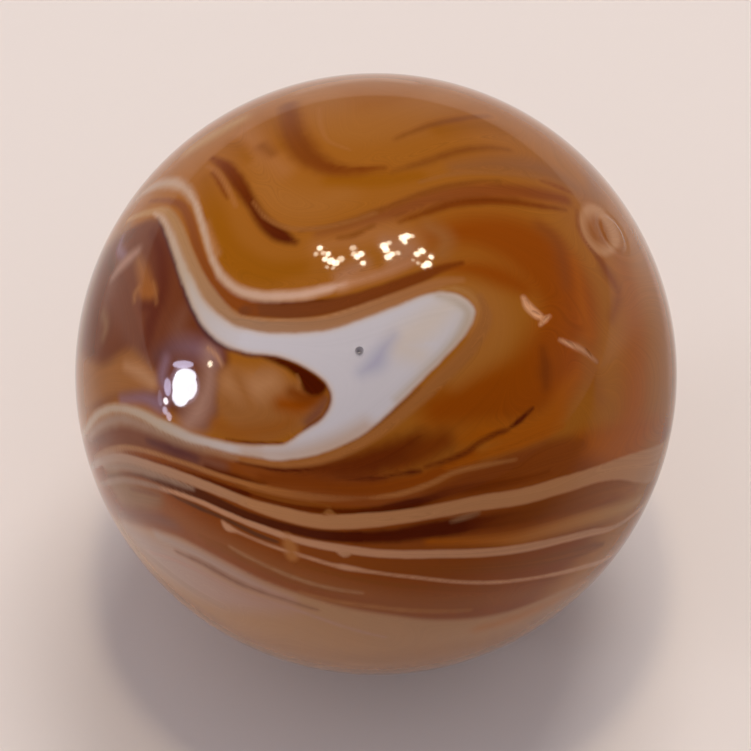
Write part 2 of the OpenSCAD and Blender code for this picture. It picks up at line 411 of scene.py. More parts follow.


# The soft patches of amber and brown that make up the body of the melt; some are painted light: haze and
# glow at the limbs, halos round the highlights, and a painted reflection at the lower left.
AMBER_BODY: tuple[Stroke, ...] = (
    Strand("light roll on the crown", ((318, 95, 20), (345, 125, 26), (400, 120, 28), (440, 100, 18)),
           Glass.SYRUP, soft=16, behind_to=(318, 95, 20), swing=0.2),
    Strand("gold cloud on the crown", ((440, 128, 12), (480, 124, 14), (510, 132, 8)), Glass.GOLD, soft=10),
    Strand("light roll inside the first fold",
           ((258, 165, 8), (275, 195, 16), (310, 205, 16), (345, 195, 10)), Glass.SYRUP, soft=18),
    Strand("light roll at the left brow", ((245, 134, 9), (262, 152, 10), (284, 170, 8)),
           Glass.COPPER, soft=14),
    Strand("gold between the folds", ((330, 180, 7), (375, 180, 9), (420, 176, 6)), Glass.GOLD, soft=8),
    Strand("gold beside the shoulder",
           ((205, 180, 8), (214, 215, 12), (232, 255, 15), (265, 272, 13), (300, 268, 8)),
           Glass.GOLD, soft=9),
    Strand("gold at the left brow", ((228, 142, 5), (240, 150, 8), (248, 160, 4)), Glass.GOLD, soft=8),
    Strand("gold across the left crown", ((262, 116, 3), (280, 126, 10), (284, 144, 7)), Glass.GOLD, soft=13),
    Strand("smoke at the left brow", ((262, 146, 4), (272, 154, 3)), Glass.BRONZE, soft=10),
    Strand("light edge of the outer arm", ((206, 224, 1), (210, 238, 2), (217, 254, 1.6)),
           Glass.CARAMEL, soft=7),
    Strand("olive light at the left crown", ((190, 150, 8), (215, 134, 10), (240, 120, 8)),
           Glass.OCHRE, soft=12),
    # Painted reflection: a pale tan haze laid along the top limb.
    Strand("painted haze along the top limb", ((300, 92, 3), (340, 82, 6), (376, 78, 8), (410, 82, 5)),
           Glass.TAN, soft=12),
    Strand("tan on the right crown", ((455, 167, 5), (500, 164, 11), (550, 172, 12), (590, 196, 10)),
           Glass.GINGER, soft=13, behind_to=(250, 100, 8), swing=0.1),
    Strand("brown under the brow line",
           ((318, 234, 3), (350, 226, 5), (390, 214, 8), (430, 199, 9), (480, 191, 10), (530, 193, 9),
            (566, 200, 6)), Glass.RUSSET, Glass.CHESTNUT, soft=7),
    Strand("orange heart on the right",
           ((430, 236, 10), (480, 232, 20), (530, 250, 32), (568, 300, 36), (560, 350, 36), (530, 385, 34),
            (480, 400, 26), (440, 410, 18)), Glass.ORANGE, soft=18),
    Strand("tan right shoulder",
           ((590, 205, 8), (614, 245, 12), (632, 300, 18), (636, 360, 22), (632, 420, 20), (622, 450, 12)),
           Glass.HONEY, Glass.MARIGOLD, soft=20),
    Strand("brown inside the shoulder", ((600, 258, 3), (607, 272, 6), (618, 292, 5), (612, 318, 3)),
           Glass.CHESTNUT, soft=11),
    # Painted light: a pale haze and glow along the right limb, laid as a lighter colour.
    Strand("painted glow at the right limb",
           ((598, 172, 0.8), (638, 236, 3.6), (664, 310, 6.6), (671, 380, 7.6), (666, 440, 6), (650, 490, 1)),
           Glass.CREAM, Glass.TAN, soft=14),
    Strand("gold in the heart", ((574, 262, 3), (582, 300, 5), (588, 334, 6)), Glass.MARIGOLD, soft=12),
    Pool("pale ring of the bruise",
         ((584, 206), (579, 220), (583, 238), (593, 251), (604, 256), (616, 250), (620, 240), (613, 222),
          (602, 209), (592, 204)), Glass.CARAMEL, soft=4),
    Pool("glass inside the bruise",
         ((591, 216), (587, 227), (592, 239), (602, 246), (610, 242), (607, 229), (600, 218)),
         Glass.HONEY, soft=7),
    Strand("brown in the heart", ((540, 226, 4), (556, 240, 6), (563, 262, 5), (566, 285, 2)),
           Glass.CHESTNUT, soft=13),
    # Partly painted light: rose haze over the hook, with the painted bloom round the bulb highlights.
    Strand("rose haze and painted halo over the hook", ((316, 246, 4), (345, 242, 6), (390, 232, 9), (415, 242, 9), (400, 256, 6)),
           Glass.COPPER, soft=12),
    Strand("painted halo between the lights", ((385, 242, 5), (408, 250, 8), (392, 264, 4)), Glass.ROSE, soft=9),
    Strand("rose knot over the hook", ((364, 264, 4), (350, 271, 6), (340, 276, 4)), Glass.ROSE, soft=10),
    Strand("honey right of the lights", ((428, 226, 5), (445, 238, 7), (442, 254, 5)), Glass.TOFFEE, soft=12),
    Strand("tan round the nose",
           ((472, 288, 5), (487, 297, 10), (496, 315, 15), (494, 338, 15), (476, 360, 10), (455, 378, 7)),
           Glass.SYRUP, soft=14),
    Strand("brown over the nose", ((446, 268, 3), (474, 269, 8), (502, 277, 11), (524, 288, 8)),
           Glass.ORANGE, soft=11),
    Strand("gold under the heart", ((578, 372, 4), (563, 395, 8), (554, 415, 7), (542, 430, 6)),
           Glass.MARIGOLD, soft=12),
    Strand("honey right of the heart", ((582, 345, 5), (592, 372, 7), (600, 400, 5)), Glass.HONEY, soft=13),
    Cap("brown of the jaw",
        ((76, 440), (100, 424), (140, 420), (200, 444), (250, 458), (300, 464), (350, 460), (390, 475),
         (430, 484), (470, 465), (520, 450), (560, 440), (600, 434), (640, 428), (672, 424)),
        Glass.CHESTNUT, soft=12, swing=0.16),
    Strand("mauve under the arm",
           ((92, 440, 7), (120, 436, 12), (160, 442, 12), (190, 457, 11), (222, 466, 6)),
           Glass.MAUVE, soft=8),
    Strand("brown right end of the jaw", ((584, 442, 8), (612, 445, 20), (642, 443, 24), (658, 438, 20)),
           Glass.MARIGOLD, soft=16),
    Strand("orange below the hook",
           ((262, 478, 5), (300, 481, 6), (350, 489, 6), (400, 485, 8), (440, 473, 9), (470, 458, 10)),
           Glass.BROWN, Glass.ORANGE, soft=6),
    Strand("honey below the heart",
           ((462, 440, 6), (485, 434, 10), (510, 436, 9), (540, 426, 9), (560, 414, 5)),
           Glass.MARIGOLD, soft=13),
    Strand("rust under the hook", ((398, 464, 8), (420, 452, 13), (443, 441, 11)), Glass.BROWN, soft=11),
    Strand("tan at the left of the bands", ((112, 466, 14), (118, 486, 22), (136, 497, 17), (158, 500, 8)),
           Glass.DUN, soft=12),
    Strand("mauve foot at the left", ((106, 504, 5), (124, 513, 9), (150, 517, 8), (176, 524, 7)),
           Glass.MAUVE, soft=9),
    Strand("russet below the bands",
           ((170, 510, 9), (195, 528, 11), (240, 550, 10), (300, 575, 11), (360, 592, 12), (430, 602, 14),
            (500, 598, 12), (560, 583, 10)), Glass.RUSSET, soft=12),
    # Painted light: lighter tan at the lower right, where light through the glass gathers.
    Strand("painted glow at the right of the bands",
           ((652, 450, 18), (646, 480, 34), (626, 520, 40), (598, 556, 36), (562, 590, 20)),
           Glass.AMBER, Glass.SYRUP, soft=28),
    Strand("gold between the bands",
           ((430, 541, 3), (480, 541, 4), (515, 539, 7), (550, 530, 8), (580, 521, 9), (605, 514, 9),
            (626, 507, 6), (640, 499, 3)), Glass.MARIGOLD, Glass.OCHRE, soft=7),
    Cap("pale underside",
        ((108, 512), (126, 522), (150, 529), (180, 538), (205, 551), (230, 564.5), (255, 577), (300, 594),
         (340, 606), (390, 615), (440, 620), (500, 614), (560, 592), (610, 562)),
        Glass.SAND, soft=5, swing=0.05),
    Strand("warm right end of the underside", ((480, 628, 5), (525, 614, 9), (560, 598, 8), (585, 582, 4)),
           Glass.COPPER, soft=12),
    # Painted reflection: a pale bluish grey sheen of the floor at the lower left.
    Strand("painted reflection at the lower left",
           ((128, 530, 12), (150, 550, 26), (182, 572, 32), (214, 590, 26), (250, 602, 14), (286, 608, 5)),
           Glass.MIST, Glass.FAWN, soft=22),
    Strand("grey edge of the underside",
           ((158, 536, 4), (182, 547, 6), (206, 559, 7), (234, 574, 7), (262, 588, 6), (292, 599, 3)),
           Glass.MIST, Glass.FAWN, soft=9),
    Strand("gold cloud round the back", ((290, 150, 12, FAR), (370, 160, 22, FAR), (470, 150, 14, FAR)),
           Glass.GOLD, soft=20),
    Strand("tan cloud round the back",
           ((300, 300, 10, FAR), (380, 320, 26, FAR), (480, 300, 24, FAR), (560, 260, 12, FAR)),
           Glass.TOFFEE, Glass.SYRUP, soft=26),
    Strand("umber round the back",
           ((80, 322, 60), (82, 322, 82, FAR), (104, 330, 72, FAR), (150, 346, 44, FAR), (205, 356, 10, FAR)),
           Glass.UMBER, Glass.CHESTNUT, soft=16),
    Strand("tongue round the back",
           ((82, 390, 14), (88, 392, 18, FAR), (125, 400, 16, FAR), (172, 402, 3, FAR)),
           Glass.TOFFEE, soft=10),
    Pool("umber window",
         ((157, 219), (138, 224), (118, 236), (96, 264), (78, 300), (70, 350), (74, 402), (95, 410),
          (125, 398), (165, 408), (205, 430), (224, 400), (228, 352), (212, 327), (190, 292), (172, 240)),
         Glass.UMBER, soft=6),
    Strand("mauve limb of the window",
           ((128, 226, 3), (106, 250, 5), (88, 300, 7), (80, 345, 8), (80, 372, 6)), Glass.DUN, soft=14),
    Strand("mauve inside the limb", ((124, 250, 3), (106, 300, 9), (98, 345, 7)), Glass.MAUVE, soft=14),
    Strand("rust down the window",
           ((152, 232, 4), (160, 250, 8), (163, 275, 9), (161, 298, 8), (152, 318, 7), (147, 345, 5)),
           Glass.RUST, soft=10),
    Strand("mauve beside the rust", ((184, 312, 4), (178, 330, 9), (184, 345, 10)), Glass.MAUVE, soft=14),
    # Painted highlight: the violet halo above the window's glint.
    Strand("painted violet halo over the glint", ((158, 356, 6), (176, 347, 7), (198, 349, 8), (212, 356, 6)),
           Glass.PLUM, Glass.PLUM_HALO_AND_ASH, soft=14),
    Strand("ash over the flecks", ((122, 238, 2), (119, 248, 4), (124, 256, 3)), Glass.PLUM_HALO_AND_ASH, soft=7),
    Strand("dark fleck at the limb", ((111, 252, 2), (110.5, 262, 4), (113, 272, 2)), Glass.COCOA, soft=5),
    Strand("tan haze in the window", ((112, 278, 2), (118, 270, 4), (127, 260, 6), (137, 252, 4)),
           Glass.FAWN, soft=8),
    Strand("tan fleck in the window", ((138, 260, 4), (143, 274, 8), (147, 288, 9)),
           Glass.GINGER, Glass.HONEY, soft=8),
    Strand("honey foot of the fleck", ((141, 290, 5), (151, 293, 7)), Glass.HONEY, soft=7),
    Strand("shadow under the fleck", ((144, 306, 4), (154, 309, 5), (150, 330, 5)), Glass.RUST, soft=8),
    Strand("pale patch at the limb", ((103, 314, 3), (106, 326, 4), (103, 338, 2)), Glass.DUN, soft=9),
    Strand("bright hook in the window", ((139, 287, 1), (135, 293, 2), (134.5, 301, 1.2)),
           Glass.TOFFEE, soft=4.5),
    Strand("bright fleck in the window", ((153, 282, 0.5), (155.5, 293, 1), (156.5, 303, 1)),
           Glass.TOFFEE, soft=4),
    Pool("caramel tongue at the left",
         ((78, 358), (104, 364), (122, 353), (134, 351), (146, 364), (162, 388), (150, 392), (124, 394),
          (100, 402), (80, 416)), Glass.TOFFEE, soft=9),
    Strand("light end of the tongue", ((126, 366, 3), (142, 374, 6), (152, 382, 6)), Glass.TAN, soft=9),
    # Partly painted highlight: mauve glass with the violet halo below the window's glint.
    Strand("mauve and painted halo under the tongue", ((122, 400, 3), (145, 399, 5), (160, 405, 8)), Glass.PLUM_HALO_AND_ASH, soft=9),
    # Painted highlight: the pale haze that fades from the window's glint across the lens's rim.
    Strand("painted haze beside the glint",
           ((208, 352, 3), (210, 372, 7), (207, 392, 9), (198, 412, 12), (188, 424, 9)), Glass.FAWN, soft=16),
    # Painted highlight: the violet halo to the left of the window's glint.
    Strand("painted violet halo round the glint", ((166, 360, 4), (162, 380, 5), (170, 398, 3)), Glass.PLUM_HALO_AND_ASH, soft=8),
    Strand("light thread at the lens", ((208, 348, 1), (216, 355, 1.6), (222, 365, 1)), Glass.CREAM, soft=3),
    Strand("honey lens", ((228, 378, 10), (238, 398, 26), (264, 404, 34), (290, 406, 24)),
           Glass.TOFFEE, soft=7),
    Strand("bright heart of the lens", ((230, 382, 8), (252, 388, 13), (270, 382, 9)),
           Glass.CARAMEL, soft=15),
    Strand("honey over the heart of the lens", ((236, 374, 5), (246, 396, 5), (254, 412, 5)),
           Glass.TOFFEE, soft=10),
    Strand("orange foot of the lens",
           ((216, 424, 5), (232, 432, 6), (252, 432, 6), (275, 429, 6), (290, 422, 5)), Glass.HONEY, soft=10),
    Strand("orange tip of the lens", ((282, 404, 6), (300, 405, 8), (312, 402, 5)), Glass.ORANGE, soft=9),
    Strand("brown above the tip", ((292, 392, 4), (306, 398, 5), (322, 396, 4)), Glass.BROWN, soft=8),
    Strand("umber side of the lens", ((326, 400, 2), (318, 412, 5), (308, 422, 4)), Glass.MAUVE, soft=6),
)

# The crisp brown and near-black threads; some are painted shadow under and beside the white hook.
DARK_GLASS: tuple[Stroke, ...] = (
    Strand("line inside the shoulder",
           ((150, 201, 2), (170, 201, 3.4), (182, 206, 4.4), (190, 221, 5), (196.5, 243, 5), (205.5, 266, 5),
            (217, 285, 6), (234, 300, 8), (256, 308, 9)), Glass.RUSSET, Glass.CHESTNUT, soft=3, flow=2),
    Strand("line over the hook",
           ((245, 307, 9), (300, 310, 8.5), (340, 304, 7.5), (380, 292, 6.5), (420, 277, 6), (440, 269, 4),
            (462, 263, 2)), Glass.WALNUT, Glass.BROWN, soft=3, flow=2),
    Strand("treacle core over the hook",
           ((246, 301.5, 1), (264, 303.5, 2.2), (300, 303.5, 2), (335, 298.5, 0.8)),
           Glass.TREACLE, soft=2, flow=2),
    Strand("first fold of the brow",
           ((212, 158, 2), (225, 166, 6), (238, 182, 7.4), (249, 200, 6), (259, 215.5, 6), (269, 227, 7.2),
            (281, 235.5, 7.4), (295, 242, 3)), Glass.BROWN, Glass.TREACLE, soft=5, flow=5),
    Strand("core of the first fold",
           ((230, 170, 1), (242, 187, 2.6), (254, 207, 3), (267, 224, 3.4), (288, 239, 1.4)),
           Glass.TREACLE, soft=4.5, flow=5),
    Strand("fold round the back",
           ((236, 122, 1, FAR), (240, 140, 5, FAR), (262, 182, 8, FAR), (320, 214, 9, FAR),
            (400, 214, 9, FAR), (490, 190, 8, FAR), (560, 190, 6, FAR), (604, 206, 1.5, FAR)),
           Glass.BRONZE, Glass.CHESTNUT, soft=7, flow=5),
    Strand("core of the fold round the back",
           ((262, 186, 1, FAR), (320, 217, 2.6, FAR), (400, 217, 3, FAR), (480, 196, 1, FAR)),
           Glass.CHOCOLATE, soft=4, flow=5),
    Strand("thread beside the first fold", ((213, 172, 2), (221, 184, 3), (228, 198, 1.6)),
           Glass.BROWN, soft=4, flow=4.7),
    Strand("second fold of the brow",
           ((288, 106, 9), (294, 134, 12), (310, 157, 12), (332, 169, 8), (358, 171, 4), (384, 168, 1.5)),
           Glass.BRONZE, Glass.BROWN, soft=9, flow=6),
    Strand("core of the second fold", ((318, 158, 1.5), (336, 167, 2.5), (360, 168.5, 2), (383, 167.5, 1)),
           Glass.BROWN, soft=3, flow=6),
    Strand("line of the brow",
           ((300, 231, 0.8), (335, 225, 2), (370, 214, 2.4), (400, 202, 2.6), (430, 191, 2.4), (460, 184, 2),
            (500, 181, 1)), Glass.BRONZE, soft=4, flow=5),
    Strand("thread below the brow", ((338, 238, 1), (354, 235, 2.4), (374, 225, 1)),
           Glass.BRONZE, soft=4, flow=4.6),
    Strand("brow line to the right",
           ((400, 222, 1), (425, 213, 3), (450, 205, 4), (480, 201, 4.6), (515, 202.5, 4.2), (540, 206, 3),
            (566, 210, 1)), Glass.BROWN, soft=4.6, flow=5),
    Strand("core of the brow line", ((428, 211, 0.8), (452, 202.5, 1.6), (490, 199.5, 2), (520, 201, 1.4)),
           Glass.CHOCOLATE, soft=3, flow=5),
    Strand("far core of the brow line", ((528, 204, 1), (545, 207, 1.4), (560, 208, 0.8)),
           Glass.CHOCOLATE, soft=2.6, flow=5),
    Strand("thread above the right brow", ((541, 181, 1), (556, 186, 2.6), (572, 193, 1)),
           Glass.CHESTNUT, soft=3.5, flow=5.6),
    Strand("soft line across the crown",
           ((392, 172, 1), (425, 162, 3.5), (460, 151, 4), (490, 148, 3), (510, 150, 1)),
           Glass.BRONZE, soft=6, flow=6),
    Strand("upper line across the crown", ((396, 139, 1), (425, 127, 3), (460, 119, 3), (490, 116, 1)),
           Glass.BRONZE, soft=6, flow=6.5),
    Strand("thread round the bruise",
           ((577, 210, 1), (578.5, 228, 2), (587, 244, 2.4), (598, 258, 2.4), (606, 270, 2.6), (615, 286, 1)),
           Glass.CHESTNUT, soft=4, flow=4),
    Strand("fleck in the heart", ((543, 350, 2), (545, 368, 6), (546, 386, 3)), Glass.BROWN, soft=9, flow=4),
    Strand("dark dash below the heart", ((507, 430, 1), (520, 420, 2.6), (533, 408, 1)),
           Glass.TREACLE, soft=2.5, flow=2.4),
    Strand("thread along the jaw",
           ((425, 467, 1), (445, 461, 2), (466, 452.5, 2.6), (479, 442.5, 2), (498, 433, 2.6),
            (508, 430, 1.6)), Glass.CHOCOLATE, soft=3.5, flow=2.2),
    Strand("shadow under the hook",
           ((285, 469, 1.5), (335, 468, 10), (370, 462, 15), (398, 451, 13), (418, 438, 6)),
           Glass.CHOCOLATE, soft=12, flow=1.6),
    Strand("core of the shadow",
           ((338, 478, 1), (362, 479, 2.2), (382, 478, 2), (395, 474.5, 1.2), (410, 472.5, 2.4),
            (420, 471, 1.2)), Glass.TREACLE, soft=3.5, flow=1.8),
    Strand("thread under the hook",
           ((236, 461.5, 0.8), (252, 465, 1.4), (278, 469.5, 2.2), (296, 470, 2.6), (316, 468.5, 1.4)),
           Glass.TREACLE, soft=2.6, flow=1.5),
    Strand("wedge under the hook", ((206, 467, 1.6), (222, 473, 3), (242, 479.5, 3.6), (264, 486, 2)),
           Glass.TREACLE, soft=5, flow=1.8),
    Strand("plum under the arm", ((148, 441, 2.5), (172, 449, 6), (195, 458, 4)),
           Glass.PLUM, soft=6, flow=1.6),
    Strand("upper dark line, left",
           ((124, 452.5, 1), (160, 463, 1.2), (190, 473, 1.6), (215, 483, 3), (250, 495, 3)),
           Glass.UMBER, Glass.TREACLE, soft=2.5, flow=2.8),
    Strand("upper dark line, middle",
           ((250, 495, 3), (290, 506, 3), (330, 511, 3), (370, 511, 4), (400, 506, 5.5), (424, 500.5, 5),
            (448, 492, 2)), Glass.CHOCOLATE, Glass.PITCH, soft=3.2, flow=2.8),
    Strand("upper dark line, right",
           ((425, 500, 5.5), (450, 491, 6.5), (480, 486, 7), (515, 480, 5), (550, 472, 1.5)),
           Glass.CHOCOLATE, Glass.BROWN, soft=5, flow=2.8),
    Strand("brown field to the right",
           ((430, 492, 3), (470, 480, 7), (515, 466, 12), (550, 455, 13), (582, 444, 6)),
           Glass.BROWN, Glass.CHESTNUT, soft=9, flow=2.6),
    Strand("middle dark line, left",
           ((100, 477, 1), (135, 474, 2), (165, 482, 5), (200, 495, 6.5), (240, 513, 5.5), (280, 526, 5),
            (320, 535, 5.5), (360, 537, 6.5)), Glass.COCOA, Glass.PITCH, soft=2.6, flow=4),
    Strand("dash at the left of the bands", ((130, 489, 0.8), (143, 491.5, 1.6), (159, 495.5, 0.8)),
           Glass.MAUVE, soft=3, flow=5.4),
    Strand("middle dark line, middle",
           ((355, 537, 6.5), (390, 536, 7.5), (430, 530, 9), (460, 526, 9.5), (485, 521.5, 7),
            (515, 516, 2.5)), Glass.PITCH, Glass.TREACLE, soft=4.5, flow=4),
    Strand("middle dark line, right",
           ((470, 524, 9), (520, 516, 10), (560, 506, 11), (598, 494, 11), (620, 489, 8), (636, 488, 5)),
           Glass.CHOCOLATE, Glass.HONEY, soft=6, flow=4),
    Strand("thread below the middle line",
           ((168, 493, 1), (195, 506, 2.5), (225, 519, 2.2), (260, 536, 2.6), (277, 542, 1.6)),
           Glass.COCOA, soft=2, flow=5),
    Strand("lower dark line",
           ((305, 551, 1.5), (340, 560, 3), (380, 566, 4), (430, 569, 6), (480, 568, 7), (520, 565, 7),
            (560, 556, 8), (590, 548, 7), (602, 545, 4)), Glass.CHESTNUT, Glass.BRONZE, soft=4.5, flow=5.4),
    Strand("line below the lower band",
           ((292, 562, 1), (340, 575, 2), (380, 583, 2), (440, 588, 1.5), (500, 588, 1)),
           Glass.BRONZE, soft=3, flow=6.3),
    Strand("line over the underside",
           ((200, 536, 1), (230, 550, 2.4), (262, 565, 2.8), (300, 579, 2.6), (345, 593, 1)),
           Glass.BRONZE, soft=3.5, flow=6.6),
    # Painted shadow: the near-black corner of the lens under the white hook's inner edge.
    Pool("painted shadow in the lens under the hook",
         ((256, 354), (276, 356.5), (292, 361.5), (306, 368.5), (319, 377), (327, 386), (322, 394),
          (312, 396), (304, 391), (299, 380), (290, 371), (277, 364)), Glass.PITCH, soft=3.5, flow=-1),
    # Painted shadow: a dark plum line along the inner white arm's left edge.
    Strand("plum shadow beside the inner arm",
           ((158, 217, 1.4), (168, 240, 2.4), (180, 275, 2.8), (193, 310, 3), (212, 338, 3),
            (240, 352.5, 1.6), (278, 357.5, 1.2)), Glass.GRAPE, soft=3.6, flow=-0.6),
    Strand("line at the foot of the lens", ((226, 439, 0.6), (250, 442.5, 1.2), (282, 442.5, 0.8)),
           Glass.CHOCOLATE, soft=2.4, flow=-0.6),
    Strand("umber edge of the lens", ((329, 388, 1.2), (331, 398, 1.5), (325, 414, 1.5), (304, 430, 1)),
           Glass.UMBER, soft=2.5, flow=-0.6),
    Strand("grey threads on the underside",
           ((176, 551, 1), (200, 562, 3), (220, 573, 3.4), (240, 583.5, 3), (262, 592, 2), (292, 602, 1.6),
            (318, 610, 0.8)), Glass.MAUVE, soft=5, flow=7),
    Strand("brown thread over the underside",
           ((206, 543, 0.8), (236, 557, 1.6), (268, 573, 1.8), (300, 585, 1.6), (330, 592, 0.8)),
           Glass.BRONZE, soft=3, flow=6.8),
    Strand("outer grey thread", ((140, 548, 1.5), (162, 567, 3), (190, 588, 3), (222, 606, 1.5)),
           Glass.ASH, soft=6, flow=7.6),
)

